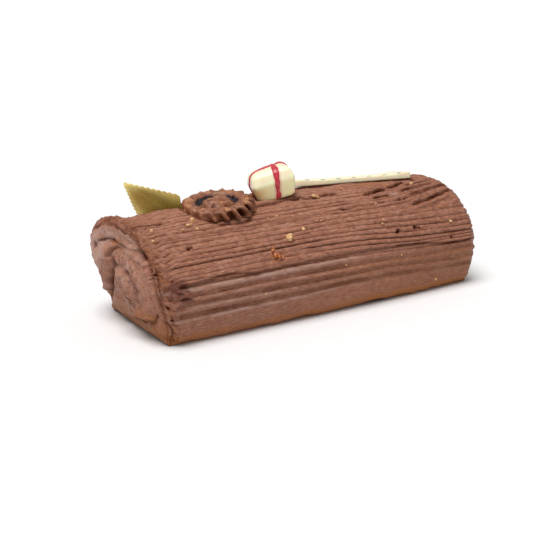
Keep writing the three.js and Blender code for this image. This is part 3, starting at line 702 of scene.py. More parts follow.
# Creases and ridges: their (across, height) points, width and rise.
END_LINES = [
    ([(4, 48), (7, 40), (9.5, 35), (13, 29.5), (18, 24.5), (24, 19.5), (31, 15), (37, 11)], 1.7, -2.8),
    ([(11.5, 53), (11, 46), (12.5, 40), (15.5, 34), (20.5, 28.5), (27, 23), (34, 18)], 1.9, 1.4),
    ([(15.5, 44), (16.5, 39), (19.5, 34), (25, 29), (32, 24)], 1.4, -1.7),
    ([(22, 57), (14, 60), (5, 60.5), (-6, 60.3), (-16, 60.2), (-27, 60), (-33, 57)], 1.0, -1.5),
    ([(-20, 58), (-29, 57), (-36, 52.5), (-40.5, 47), (-43.3, 40), (-44.6, 31), (-44.4, 21)], 1.6, 1.2),
    ([(-26, 61.5), (-34, 58.5), (-40, 52.5), (-44.2, 45), (-46.4, 36), (-47, 26), (-46, 16)], 1.4, -2.6),
    ([(9, 50), (5, 54.5), (-1, 57.8), (-8, 58.2)], 1.3, -1.2),
    ([(-2, 52), (-13, 53.5), (-24, 50.5), (-31, 44), (-34, 36), (-32, 27), (-26, 21.5)], 3.0, 1.1),
    ([(-1, 46), (-11, 47.5), (-21, 43.5), (-26, 37), (-25.5, 30), (-20, 25), (-12, 23)], 1.7, -1.1),
    ([(-8, 41), (-14, 38.5), (-15, 33), (-11, 29.5)], 2.8, 1.5),
    ([(2, 38), (-1, 32), (-7, 27.5), (-15, 26.5), (-22, 28.5)], 1.3, -1.4),
    ([(-40, 22), (-35, 16.5), (-27, 13), (-18, 10.5), (-7, 9)], 1.2, -2.0),
    ([(-40, 27), (-35, 23), (-27, 18.5), (-17, 16)], 2.4, 1.3),
    ([(-42, 13), (-34, 8.5), (-24, 5.5), (-12, 4.5)], 2.2, 1.1),
    ([(20, 10), (8, 9), (-3, 12), (-10, 17)], 2.6, 0.9),
    ([(30, 66), (20, 69.5), (8, 71)], 1.0, -1.0),
]

# Pits: across, height, radius and depth.
END_PITS = [
    (-6.5, 50.5, 1.3, 1.2),
    (-11.5, 53.5, 1.2, 1.1),
    (-16, 50, 0.9, 0.8),
    (18, 35, 1.8, 1.2),
    (31, 31, 1.9, 1.4),
    (25, 54, 2.4, 1.4),
    (-32, 60, 1.6, 1.2),
    (-6, 40, 0.8, 0.5),
    (-22, 44, 0.8, 0.5),
    (2, 36, 0.9, 0.5),
    (18, 40, 1.2, 0.8),
    (-28, 20, 1.0, 0.6),
]

# Spots of warm cream, and the mottled middle: across, height, reach along each, and amount.
END_WARM_SPOTS = [(-31, 18, 6.8, 3.4, 0.9), (2, 60.5, 2.56, 1.6, 1)]
END_MOTTLING = [(-16, 37, 24, 20, 1)]


def folds(across, height):
    total = np.zeros_like(across)
    for middle, level, wide, tall, start, end, width, rise in END_FOLDS:
        offset_y = (across - middle) / wide
        offset_z = (height - level) / tall
        reach = np.hypot(offset_y, offset_z)
        angle = np.degrees(np.arctan2(offset_z, -offset_y))
        around = between(angle, start - 8, start + 14, end - 14, end + 8) if end - start < 360 else 1.0
        total += rise * around * bell((reach - 1) * (wide + tall) / 2 / width)
    return total


def end_lines(across, height, strength):
    """Rise of the creases and ridges on an end, and the painted shade in its creases."""
    rise = np.zeros_like(across)
    hollow = np.zeros_like(across)
    ragged = 1 + 0.5 * noise(across / 3, height / 3, seed=38)
    broken = np.clip(1 + 0.6 * noise(across / 6, height / 6, seed=57), 0.4, 1.5)
    for path, width, amount in END_LINES:
        shape = broken * bell(from_path(across, height, path) / (width * ragged))
        rise += strength * amount * shape
        if amount < 0:
            hollow = np.maximum(hollow, np.minimum(1, shape * min(1, -amount / 2.2)))
    return rise, hollow


# ---------------- the buttercream

RIM_STEP = 0.85
DETAIL_STEP = 1.1
PLAIN_STEP = 1.4
UNDERSIDE_POINTS = 9
# The torn lower edge overhangs the foot by this much.
FOOT_RECESS = 1.8
# The edge is pushed out by this much near this x.
TORN_FOOT = Measures(x=38, reach=20, out=3.6)
# A smear of dark cream on the front of the left rim: x, length and radius.
SMEAR = (-118.5, 40.5, 8)
# A golden streak on the upper front: x, length, half its run, half its width and slope.
GOLDEN_STREAK = (70, 95, 17, 2.4, 0.22)
# Spots of warm and of pale cream: x, length, reach along each, and amount.
WARM_SPOTS = [(64, 103, 11, 3, 0.55), (-44, 50, 4.5, 2.5, 0.7)]
PALE_SPOTS = [(72.5, 84.5, 3.5, 2.2, 0.9)]
# Lengths along the section: the topmost flank roll's edge, which gets a painted highlight, a stroke that
# the comb left plain on the left, and the painted shade under the plaque.
TOP_ROLL_EDGE = 40.4
PLAIN_STROKE = 50.5
PLAQUE_SHADE = 107


def side_distances(span):
    """Distances of the rings from the left rim, closest together at the rims and the torn strokes."""
    distances = [0.0]
    while distances[-1] < span:
        here = distances[-1]
        step = mix(PLAIN_STEP, DETAIL_STEP, max(1 - smooth(here, 30, 50), smooth(here, 160, 180)))
        step = mix(RIM_STEP, step, smooth(min(here, span - here), 10, 20))
        distances.append(here + float(step))
    return np.array(distances) * span / distances[-1]


# How strongly the foot and the upper edge of each flank roll are shaded and lit, from the foot up.
LEDGE_SHADES = np.append([0, 1.4, 1, 0.8], np.zeros(ROLL_COUNT))
EDGE_SHINES = np.append([1.6, 1, 0.5, 0.7], np.zeros(ROLL_COUNT))


def comb_relief(rolls, shares, x):
    """Height of the rolls at a column of x, and their painted shade from 0 to 1: dark lines in the comb's
    grooves and dark bands low on the flank rolls.
    """
    height = roll_heights(x)[:, rolls]
    across = 2 * shares - 1
    groove = np.where(shares < 0.5, rolls, rolls + 1)
    uneven = mix(0.65, 1.25, jitter(groove + 60)) + 0.45 * noise(x / 21, groove * 7.3, seed=1)
    uneven = np.clip(uneven + 0.35 * noise(x / 5, groove * 3.1, seed=2), 0.35, 1.7)
    comb = height * (0.45 - (0.45 + 0.8 * uneven) * np.abs(across) ** 3.2)
    line = 0.36 * np.abs(across) ** 8 * uneven

    upward = np.where(rolls < ROLL_COUNT / 2, shares, 1 - shares)
    above, below = upward * WIDTHS[rolls], (1 - upward) * WIDTHS[rolls]
    firm = mix(1, 0.7, smooth(x, -20, 90)) * (1 + 0.25 * noise(x / 16, rolls * 5.1, seed=9))
    swell = np.where(IS_FIRST[rolls], 0.7 + 0.3 * upward, smooth(upward, 0, 0.8))
    flank = height * firm * (1.1 * swell * smooth(below, 0, FLANK_RETURN) - 0.6)
    shade = 0.45 * LEDGE_SHADES[FROM_FOOT[rolls]] * bell((above - 1.9) / 1.9) + 0.25 * bell(above / 0.5)
    ledge = firm * np.where(IS_FIRST[rolls], 0, shade)
    is_flank = IS_FLANK[rolls]
    return np.where(is_flank, flank, comb), np.where(is_flank, ledge, line)


def rim_inset(end, distance):
    return end.inset * np.maximum(0, 1 - distance / end.roll) ** 2


def fan_strokes(x, length):
    """How firm the wide stroke is at each place, and how near the place is to the stroke's edges."""
    stroke = np.interp(length - FAN_SLOPE * (x - FAN_X), FAN_GROOVES, np.arange(len(FAN_GROOVES)))
    stroke = stroke + 0.12 * noise(x / 8, length / 9, seed=19)
    firm = np.clip(0.9 + 0.7 * noise(x / 10, np.floor(stroke) * 3.7, seed=56), 0.25, 1.5)
    return firm, np.abs(2 * (stroke % 1) - 1) ** 3


def side_grain(x, base_length, place, upper):
    """Fine streaks along the log, and crumbly cream that is roughest on the upper part."""
    streak = 0.22 * noise(x / 8, base_length / 0.75, seed=3) + 0.24 * noise(x / 22, base_length / 1.7, seed=4)
    coarse = 0.26 * lumps(place, 2.6, 11) + 0.2 * lumps(place, 1.4, 12)
    crumbly = 0.9 * np.maximum(0, lumps(place, 1.9, 13) - 0.4) - np.maximum(0, lumps(place, 1.7, 14) - 0.5)
    return streak + coarse * mix(0.2, 1, upper) + crumbly * upper


def crest_form(away, length):
    """A fold behind the crest at the left rim, less the dips that the leaf and the disc lie in."""
    behind = length - CREST
    fold = 1.3 * bell((away - 3) / 6) * bell((behind - 26) / 18)
    dip = 3.2 * bell((away - 19) / 12) + 1.2 * bell((away - 58) / 15)
    return fold - dip * bell((behind - 8) / 28)


def under_foot(x, to_foot):
    """Where the side lies under the torn lower edge, from 0 to 1."""
    edge = -0.9 + 0.6 * wander(x / 11, 53) + 0.4 * wander(x / 3.5, 54)
    edge = edge + TORN_FOOT.out * bell((x - TORN_FOOT.x) / TORN_FOOT.reach)
    return 1 - smooth(to_foot - edge, -0.4, 0.7)


def side_bloom(x, length, edges, front, upper):
    """Painted highlight along the upper edges of the flank rolls, and the paler drier streaks and pale spots
    of cream.
    """
    top_roll = bell((length - TOP_ROLL_EDGE) / 1.5) * smooth(70 - x, 0, 60)
    streaks = noise(x / 7, length / 1.2, seed=22) + 0.6 * noise(x / 2.5, length / 0.8, seed=26)
    bloom = np.maximum(edges, 1.4 * top_roll * front) * mix(0.1, 0.75, smooth(60 - x, 0, 100))
    bloom = bloom * np.clip(0.75 + 0.8 * streaks, 0, 1.5) + 0.25 * upper * smooth(streaks, 0.3, 1.2)
    return np.clip(bloom + spots(x, length, PALE_SPOTS), 0, 1)


def side_warmth(x, length, to_foot, place, band, front):
    """How warm the colour is: along the foot, at the rims and in a few streaks and spots."""
    tan_edge = 10 + 1.2 * wander(x / 12, 55) - to_foot
    warm = mix(0.65, 1, smooth(x, -60, 60)) * smooth(tan_edge, 0, 2.5)
    warm = warm * (1 + 0.3 * noise(x / 9, length / 3, seed=23))
    warm = np.maximum(warm, 0.25 * smooth(40 - to_foot, 0, 8) * smooth(x, -60, 40))
    patches = lumps(place, 2.6, 27)
    warm = warm + band * (0.1 + 0.5 * smooth(patches, 0.15, 0.6)) + spots(x, length, WARM_SPOTS)
    streak_x, streak_length, run, width, slope = GOLDEN_STREAK
    beyond = x - streak_x
    golden = bell(beyond / run) * bell((length - slope * beyond - streak_length) / width)
    return np.clip(warm + 0.9 * golden * front * smooth(patches, -0.1, 0.6), 0, 1)


def side_surface(span):
    """Points and values of the log's side, as (ring, point).

    Several shares run from 0 to 1: front on the photo's side, upper above the flank, torn in the fan
    of wide strokes, smeared at the dark smear, plain in the plain stroke, combed where the comb's
    marks show, band along the crumbly left rim, and under below the torn foot.
    """
    away = side_distances(span)[:, None]
    x = mix(STROKE_LEFT, STROKE_RIGHT, away / span)
    rolls, shares = section_shares()
    comb, comb_hollow = (np.pad(layer, ((0, 0), (0, 1))) for layer in comb_relief(rolls, shares, x))
    grooves = grooves_at(x)
    length = mix(grooves[:, rolls], grooves[:, rolls + 1], shares)
    length = np.concatenate([length, np.full((len(x), 1), PERIMETER)], axis=1)
    base_length = np.append(mix(GROOVES[rolls], GROOVES[rolls + 1], shares), PERIMETER)[None, :]
    front = smooth(CREST + 12 - length, 0, 10)
    x = x + 0 * length
    hook = 2.4 * bell((away - 7) / 4.5) * smooth(np.minimum(length, PERIMETER - length), 25, 45)
    length = length - hook * np.where(length < CREST, 1, -1) * smooth(np.abs(length - CREST), 0, 14)
    to_foot = np.minimum(length, PERIMETER - length)

    across, height, normal_y, normal_z = section_at(length)
    place = join(x, across, height)
    torn = front * smooth(x, *FAN_START) * between(length, *FAN_SPAN)
    smeared = smooth(1.3 - np.hypot(x - SMEAR[0], length - SMEAR[1]) / SMEAR[2], 0, 0.6)
    smeared = smeared * (1 + 0.25 * lumps(place, 5, 10))
    plain = bell((length - PLAIN_STROKE) / 3.4) * (1 - smooth(x, -50, 0)) * front
    combed = smooth(away, 3, 9) * (1 - 0.9 * torn) * (1 - 0.8 * smeared) * (1 - 0.65 * plain)
    mark, mark_hollow = marks(x, length)
    upper = smooth(to_foot, 36, 48)
    firm, valley = fan_strokes(x, length)

    band = bell((away - 3) / 3.5)
    crack = bell(lumps(place, 3.6, 24) / 0.13)
    rough = band * (0.7 * lumps(place, 2.4, 15) + 0.8 * lumps(place, 1.1, 16) - 0.8 * crack)
    rough = rough + smeared * (0.8 * lumps(place, 4, 58) + 0.25 * lumps(place, 1.6, 59))
    swell = 0.5 * lumps(place, 24, 17) + 0.35 * lumps(place, 11, 18)
    seam_at = 0.6 + 1.1 * wander(length / 7, 20)
    seam = 1.5 * bell((away - seam_at) / 0.9)
    bead = 0.9 * bell((away - 5) / 2.6)
    lift = comb * combed + mark * front + side_grain(x, base_length, place, upper) + rough + swell
    lift = lift + torn * firm * (0.35 - valley) + crest_form(away, length) + bead - seam
    lift = lift - rim_inset(LEFT, away) - rim_inset(RIGHT, span - away)
    lift = lift * smooth(to_foot, 0, 3) + 0.7 * wander(x / 6, 21) * bell(to_foot / 4)
    under = under_foot(x, to_foot)
    lift = lift - FOOT_RECESS * under * smooth(np.minimum(away, span - away), 2, 8)
    right_rim = bell((span - away) / 4)
    lift = lift - 1.3 * right_rim * comb_hollow
    left, right = left_face(across, height), right_face(across, height)
    right = right + right_rim * (0.9 * wander(length / 3.1, 28) + 0.6 * wander(length / 1.3, 29))
    narrow, low = tapered(across, height, x)
    low = np.maximum(0, low + normal_z * lift)
    points = join(mix(left, right, away / span), narrow + normal_y * lift, low)
    points[:, [0, -1], 2] = 0

    pocks = smooth(-lumps(place, 1.1, 16) - lumps(place, 2.4, 15), 0.1, 0.8)
    # Painted shade: in the comb's grooves and flank bands, the marks, the seam at the left rim, the crumbly
    # cream's dips, the fan's valleys, under the plaque, over the lower flank and under the torn foot. The
    # crumbly band is darker all over and painted darker still in its pocks and cracks.
    hollow = highest(
        comb_hollow * combed,
        mark_hollow * front,
        0.75 * bell((away - seam_at) / 0.8),
        band * highest(0.25, 0.7 * pocks, 0.7 * crack),
        0.4 * upper * smooth(lumps(place, 1.7, 14), 0.5, 0.85),
        0.35 * torn * firm * valley**2,
        0.5 * front * bell((length - PLAQUE_SHADE) / 3) * between(x, 40, 60, 92, 102),
        0.14 * smooth(40 - to_foot, 0, 14),
        0.95 * under,
    )
    below = np.append((1 - shares) * WIDTHS[rolls], 0)
    # Painted highlight just under the upper edge of each flank roll on the front.
    edges = np.append(EDGE_SHINES[FROM_FOOT[rolls]], 0) * bell((below - 1.3) / 0.9) * (base_length < CREST)
    return points, {
        # The painted shade deepens a little towards the right end.
        "hollow": hollow + (1 - hollow) * 0.09 * smooth(x, 20, 90),
        "bloom": side_bloom(x, length, edges, front, upper),
        "warm": side_warmth(x, length, to_foot, place, band, front),
        "plum": np.clip(smeared * (0.75 + 0.35 * lumps(place, 2.6, 25)), 0, 1),
    }


def underside(points):
    """Points along the flat underside that close each ring, back foot to front foot."""
    back, front = points[:, -1:], points[:, :1]
    share = (np.arange(1, UNDERSIDE_POINTS + 1) / (UNDERSIDE_POINTS + 1))[None, :, None]
    return mix(back, front, share)


def end_surface(rim, side, end, face, line_strength):
    """Rings that shrink from a rim to the middle of an end, and their values.

    The side is -1 for the left end and 1 for the right end.
    """
    share = np.arange(1, end.rings + 1) / (end.rings + 0.6)
    scale = (1 - share**1.12)[:, None]
    across = rim[None, :, 1] * scale
    height = mix(CAP_CENTRE_HEIGHT, rim[None, :, 2], scale)
    mirrored = -side * across
    inward = (1 - scale) * CAP_REACH
    fade = smooth(1 - scale, 0, 0.12)
    fold = folds(mirrored, height) + spots(mirrored, height, END_LOBES)
    fine, line_hollow = end_lines(mirrored, height, line_strength)
    pit = spots(mirrored, height, END_PITS)
    beside, above = mirrored - SWIRL_MIDDLE[0], height - SWIRL_MIDDLE[1]
    around = np.arctan2(above, beside)
    reach = np.hypot(beside / 1.1, above)
    swirl = 0.35 * noise(reach / 1.3, around * 4, seed=30) + 0.4 * noise(reach / 2.8, around * 2.2, seed=31)
    place = join(0, across, height)
    mottled = spots(mirrored, height, END_MOTTLING)
    grain = mix(0.35, 0.9, mottled) * lumps(place, 3.1, 32 - side) + 0.35 * lumps(place, 1.6, 34 - side)
    grain = grain + 0.6 * lumps(place, 9, 60) + 0.4 * lumps(place, 5, 62)
    edge = 0.9 * bell((inward - 2.6) / 1.9)
    relief = (fold + fine - pit) * fade + (swirl + grain) * smooth(inward, 0, 3) + edge
    x = face(across, height) + side * (end.bulge * (1 - scale**3) + relief * smooth(height, 0, 2))
    # Painted shade: in the sunken folds, creases and pits, the pocks of the mottled middle, the crease at the
    # rim, along the foot, and darker towards the bottom.
    hollow = np.maximum(np.clip(-fold / 4 - 0.2, 0, 0.5) * fade, line_hollow) + np.clip(0.7 * pit, 0, 0.8)
    pocks = smooth(-lumps(place, 1.6, 34 - side), 0.3, 0.8) * mix(0.15, 0.6, mottled)
    foot_shade = bell(height / mix(1.5, 3.5, 0.5 + 0.5 * wander(across / 4, 39)))
    hollow = highest(hollow, pocks, 0.9 * bell(inward / 1.1), foot_shade, 0.28 * bell(height / 24))
    # Painted sheen and paler bloom: greyish over the upper smear, one upper side and the mottled middle,
    # broken into flecks.
    smear = bell((reach - 38) / 6) * smooth(height, 44, 60)
    left_side = smooth(mirrored, 8, 18) * smooth(height, 36, 46)
    flecks = 0.75 + 0.6 * noise(reach / 1.6, around * 5, seed=36) + 0.7 * mottled * lumps(place, 1.5, 61)
    middle = 0.15 * smooth(height, 16, 32) + 0.7 * mottled * smooth(height, 26, 50)
    bloom = np.clip(0.75 * (smear + left_side + middle) * flecks, 0, 1) * fade
    warm = 0.75 * bell(np.maximum(0, height - 5) / 12) + 0.14 * smooth(lumps(place, 5, 37), 0.1, 0.8)
    warm = np.clip(warm + spots(mirrored, height, END_WARM_SPOTS), 0, 1)
    return join(x, across, height), {"hollow": hollow, "bloom": bloom, "warm": warm, "plum": 0 * across}


# ---------------- toppings: places and presses

# What lies on the buttercream stays this far above it.
TOUCH_GAP = 0.35
DISC = Measures(radius=24.2, flutes=18, flute_turn=10.3, thickness=7.4)
DISC.smear_direction = -161
DISC.origin = (-64.6, -3.6, 79.8)
DISC.normal = (-0.098, -0.033, 1)
DISC.axes = np.array(Vector(UP).rotation_difference(Vector(DISC.normal).normalized()).to_matrix())
# The pools of glaze lie in the disc's ring: their half width, and a floor under the ring's.
GLAZE = Measures(reach=4.4, floor=-3.4)
# The pools: piece, angles from and to in degrees, and level.
GLAZE.pools = [("glaze_left", 58, 172, -1.1), ("glaze_right", -36, 42, -1.3)]
PARCEL = Measures(length=30.8, depth=24, height=21.8, belly_height=12.4, corner=5, base_inset=2.6)
PARCEL.shoulder_height, PARCEL.shoulder_inset = 18.6, 3
PARCEL.origin = (-16.8, -1.7, 74.8)
PARCEL.axes = turn((-0.53, -0.85, 0), 15.5) @ turn(UP, -20)
# The ribbon over the front leans from its foot to the top, and the one over the length slides back.
RIBBON = Measures(width=3.1, proud=0.7, sunk=0.6, foot_offset=0.3, top_offset=4.1, slide=5.5, step=0.6)
PLAQUE = Measures(length=96, width=26, thickness=3.6, bevel=0.6, corner=3)
# Its own frame starts at the middle of its front edge, and it falls to the right and tilts back.
PLAQUE.origin = (53, 2.2, 74.9)
PLAQUE.axes = turn(UP, -7) @ turn(BACK, 2) @ turn(RIGHTWARDS, -11.5)
DASHES = Measures(count=7, length=4.2, width=0.7, inset=0.9, half_row=38, half_height=0.3)
LEAF = Measures(tip=(-120.2, 93.5), lower_edge=70.5, upper_edge=17.3, root_height=68.8, right_end=-85.6)
LEAF.depth, LEAF.swing, LEAF.lean_back = 8.2, 0.3, 0.12
LEAF.thickness, LEAF.tooth, LEAF.teeth = 1.8, 0.8, 10
LEAF.origin, LEAF.axes = (0, 0, 0), np.eye(3)


def to_local(points, topping):
    """Places in a topping's own frame."""
    return (points - np.array(topping.origin)) @ topping.axes


def to_frame(points, topping):
    return points @ topping.axes.T + np.array(topping.origin)


def leaf_middle(x, z):
    wave = 0.9 * np.sin((x + z) / 7) + 0.5 * np.sin((x - 2 * z) / 9)
    swung = LEAF.swing * (LEAF.right_end - x)
    return LEAF.depth + swung + LEAF.lean_back * (z - LEAF.root_height) + wave


def pressed(height, level, inside):
    """Heights brought down inside a shape, to just under a level."""
    return mix(height, np.minimum(height, level - TOUCH_GAP), inside)


def press_under_disc(x, y, z):
    """New heights of local places, and the painted contact shadow round the topping; the other presses do the
    same.
    """
    outside = np.hypot(x, y) - DISC.radius
    hugged = bell((np.abs(np.degrees(np.arctan2(y, x))) - 165) / 40)
    raised = z > -DISC.thickness - 14
    z = z + raised * bell((outside - 2.2) / 2.2) * mix(0.35, 0.1, hugged)
    contact = 0.9 * raised * bell((outside - 0.5) / 1.3) * (1 - 0.7 * hugged)
    return pressed(z, -DISC.thickness, (1 - smooth(outside, -0.6, 0.5)) * raised), contact


def press_under_parcel(x, y, z):
    inset = np.interp(z, *np.transpose(parcel_levels()))
    outside = np.maximum(np.abs(x) - (PARCEL.length / 2 - inset), np.abs(y) - (PARCEL.depth / 2 - inset))
    raised = z > -8
    z = z + raised * (1.1 * bell((outside - 3.6) / 1.3) - 0.5 * bell((outside - 0.9) / 1.0))
    contact = 0.75 * raised * bell((outside - 0.4) / 0.8)
    return pressed(z, 0, (1 - smooth(outside, -0.5, 0.4)) * raised), contact


def press_under_plaque(x, y, z):
    outside = np.maximum(np.abs(x) - PLAQUE.length / 2, np.abs(y - PLAQUE.width / 2) - PLAQUE.width / 2)
    raised = z > -12
    contact = raised * bell((outside - 0.6) / 1.5)
    return pressed(z, 0, (1 - smooth(outside, -0.4, 0.6)) * raised) - 1.6 * contact, contact


def press_round_leaf(x, y, z):
    left_foot = LEAF.tip[0] + (LEAF.tip[1] - LEAF.root_height) / math.tan(math.radians(LEAF.lower_edge))
    within = between(x, left_foot - 1.2, left_foot, LEAF.right_end, LEAF.right_end + 1.2) * (z > WAIST_HEIGHT)
    outside = np.abs(y - leaf_middle(x, z)) - LEAF.thickness / 2
    z = z + within * 0.3 * bell(outside - 1.0)
    contact = 0.8 * within * bell((outside - 0.2) / 0.7)
    return pressed(z, LEAF.root_height, within * (1 - smooth(outside, 0, 0.5))), contact


PRESSES = [
    (press_under_disc, DISC),
    (press_under_parcel, PARCEL),
    (press_under_plaque, PLAQUE),
    (press_round_leaf, LEAF),
]


def add_buttercream():
    span = float(right_face(0.0, WAIST_HEIGHT) - left_face(0.0, WAIST_HEIGHT))
    side, values = side_surface(span)
    foot = underside(side)
    side = np.concatenate([side, foot], axis=1)
    blank = np.zeros(foot.shape[:2])
    values = {key: np.concatenate([data, blank], axis=1) for key, data in values.items()}
    left, left_values = end_surface(side[0], -1, LEFT, left_face, 1.5)
    right, right_values = end_surface(side[-1], 1, RIGHT, right_face, 0.8)
    rings = np.concatenate([left[::-1], side, right])
    for key in values:
        values[key] = np.concatenate([left_values[key][::-1], values[key], right_values[key]])
    for press, topping in PRESSES:
        x, y, z = split(to_local(rings, topping))
        z, contact = press(x, y, z)
        rings = to_frame(join(x, y, z), topping)
        # Each topping's painted contact shadow joins the painted shade.
        values["hollow"] = np.maximum(values["hollow"], contact)
    add_piece("buttercream", [(rings, values)], buttercream_finish(), "log")


# ---------------- crumbs

# The crumbs that stand out most: x, direction from the waist, size and tone from pale to brown.
LARGE_CRUMBS = [
    (-31, 35, 6.2, 0.25),
    (-18, 40, 3.0, 0.1),
    (-97, 62, 3.2, 0.1),
    (-91, 68, 3.0, 0.3),
    (-92, 57, 2.6, 0.5),
    (7, 74, 3.6, 0.2),
    (9, 72, 2.4, 0.4),
    (92, 73, 3.4, 0.3),
    (-123, 62, 2.6, 0.2),
    (-126, 52, 2.4, 0.2),
    (-102, 58, 2.2, 0.5),
    (-94, 63, 2.0, 0.4),
    (-86, 62, 1.8, 0.6),
    (-32, 56, 2.2, 0.5),
    (-26, 59, 1.8, 0.6),
    (47, 36, 2.2, 0.4),
    (45, 33, 1.8, 0.2),
    (48, 52, 1.8, 0.4),
    (105, 26, 2.2, 0.2),
    (101, 41, 2.4, 0.9),
    (91, -23, 2.4, 0.2),
    (-55, -4, 1.6, 0.2),
    (-60, 61, 1.6, 0.7),
    (33, 79, 1.8, 0.4),
    (60, 77, 2.0, 0.9),
]
# Bits of caramel: x, direction and size.
CARAMEL_BITS = [
    (-46, 30, 2.8),
    (-46.2, 27.5, 4.2),
    (-45.6, 24, 4.8),
    (-43.4, 22, 5.0),
    (-41, 21.6, 4.2),
    (-88, 55, 2.0),
]
SMALL_CRUMB_COUNT = 24
CRUMB_SEED = 11
# A chip's half sizes along its three axes and how high its middle lies, for a size of one.
CHIP_SHAPE = (0.62, 0.5, 0.4)
CHIP_LIFT = 0.18
CHIP_CUTS = 9
CHIP_RINGS, CHIP_SIDES = 7, 10
# The first and last rings stay this angle from the poles.
POLE_GAP = 0.12


def sphere_points():
    """Rings of directions over a ball, without its poles."""
    polar = np.linspace(POLE_GAP, math.pi - POLE_GAP, CHIP_RINGS)[:, None]
    around = full_turn(CHIP_SIDES)
    flat = np.sin(polar)
    return join(flat * np.cos(around), flat * np.sin(around), np.cos(polar))


def chip(size, seed):
    """An angular chip of nut: a ball cut by planes, as rings of points."""
    rng = np.random.default_rng(seed)
    directions = sphere_points()
    planes = rng.normal(size=(CHIP_CUTS, 3))
    planes /= np.linalg.norm(planes, axis=1)[:, None]
    reach = rng.uniform(0.55, 0.9, CHIP_CUTS)
    facing = np.maximum(directions @ planes.T, 0.05)
    radius = np.minimum(1, (reach / facing).min(-1))
    scaled = directions * radius[..., None] * np.array(CHIP_SHAPE) * size
    return scaled @ turn(rng.normal(size=3), rng.uniform(0, 360)).T


def on_surface(x, direction, lift):
    length = length_at_direction(direction)
    across, height, normal_y, normal_z = section_at(length)
    narrow, low = tapered(across, height, x)
    return np.array([x, float(narrow + normal_y * lift), float(low + normal_z * lift)])


def add_chips(name, chips, material):
    """One sharp-edged piece of chips (x, direction, size, tone) on the log's surface."""
    parts = []
    for index, (x, direction, size, tone) in enumerate(chips):
        rings = chip(size, CRUMB_SEED + index) + on_surface(x, direction, CHIP_LIFT * size)
        parts.append((rings, {"tone": np.full(rings.shape[:2], tone)}))
    add_piece(name, parts, material, "log").data.shade_flat()


def add_crumbs():
    crumbs = list(LARGE_CRUMBS)
    rng = np.random.default_rng(CRUMB_SEED)
    for index in range(SMALL_CRUMB_COUNT):
        x = mix(-118, 116, (index + rng.random()) / SMALL_CRUMB_COUNT)
        direction = rng.uniform(4, 62) if index % 3 else rng.uniform(122, 170)
        crumbs.append((x, direction, rng.uniform(0.8, 1.7), rng.uniform(0.1, 0.9)))
    add_chips("nut_crumbs", crumbs, crumb_finish())
    caramel = [(x, direction, size, 1.0) for x, direction, size in CARAMEL_BITS]
    add_chips("caramel_bits", caramel, caramel_finish())


# ---------------- leaf


def add_leaf():
    """A fan of lines from the tip, down to the root or across to the right end, with toothed edges."""
    rows, columns = 120, 34
    row = np.linspace(0.02, 1, rows)[:, None]
    share = (1 - np.cos(np.linspace(0, math.pi, columns))) / 2
    around = np.concatenate([share, share[-2:0:-1]])[None, :]
    face = np.concatenate([-np.ones(columns), np.ones(columns - 2)])[None, :]
    angle = np.radians(mix(LEAF.lower_edge, LEAF.upper_edge, around))
    to_root = (LEAF.tip[1] - LEAF.root_height) / np.sin(angle)
    to_right = (LEAF.right_end - LEAF.tip[0]) / np.cos(angle)
    distance = np.minimum(to_root, to_right) * row
    saw = np.abs((row * LEAF.teeth + 0.25) % 1 * 2 - 1)
    tooth = LEAF.tooth * (1 - saw**1.3)
    outward = tooth * (smooth(around, 0.86, 1) - smooth(1 - around, 0.86, 1)) * smooth(1 - row, 0, 0.05)
    x = LEAF.tip[0] + distance * np.cos(angle) + outward * np.sin(angle)
    z = LEAF.tip[1] - distance * np.sin(angle) + outward * np.cos(angle)
    rounded = np.sqrt(np.clip(1 - (2 * around - 1) ** 6, 0, 1))
    vein = bell((around - 0.55) / 0.02) + 0.5 * bell(((around - 0.55) * 9 + row * 7) % 1.0 / 0.16)
    half = LEAF.thickness / 2 * mix(0.35, 1, rounded) * smooth(row, 0, 0.08)
    y = leaf_middle(x, z) + face * half
    # Painted glow along the upper and lower edges and near the tip, and painted shade towards the root and
    # the right.
    edge = np.maximum(bell((1 - around) / 0.14) * (1 - 0.7 * row), 0.8 * bell(around / 0.16)) * 0.8
    edge = edge + 0.9 * bell(row / 0.22)
    deep = smooth(row + 0.45 * around, 0.5, 1.15) * (1 - 0.7 * bell((1 - around) / 0.12))
    values = {"edge": np.clip(edge, 0, 1), "deep": np.clip(deep, 0, 1), "vein": vein + 0 * x}
    add_piece("leaf_chocolate", [(join(x, y, z), values)], leaf_finish(), "leaf")


# ---------------- fluted disc


def disc_profile():
    """Radius, height, flute depth and slant from the underside over the rim to the middle."""
    radius, thickness = DISC.radius, DISC.thickness
    return np.array(
        [
            (radius * 0.2, -thickness, 0, 1),
            (radius * 0.55, -thickness, 0, 1),
            (radius - 3, -thickness, 1.6, 1),
            (radius - 0.8, -thickness * 0.92, 3.0, 1),
            (radius - 0.6, -thickness * 0.7, 3.1, 0.8),
            (radius - 0.9, -thickness * 0.45, 2.7, 0.5),
            (radius - 1.4, -thickness * 0.2, 1.9, 0.25),
            (radius - 2.4, -0.2, 1.1, 0.1),
            (radius - 4.4, 0.35, 0.35, 0),
            (radius * 0.72, 0.2, 0.1, 0),
            (radius * 0.64, -0.5, 0, 0),
            (radius * 0.58, -1.9, 0, 0),
            (radius * 0.5, -2.3, 0, 0),
            (radius * 0.42, -1.8, 0, 0),
            (radius * 0.36, -0.4, 0, 0),
            (radius * 0.26, 0.4, 0, 0),
            (radius * 0.14, 0.7, 0, 0),
            (radius * 0.04, 0.6, 0, 0),
        ]
    )


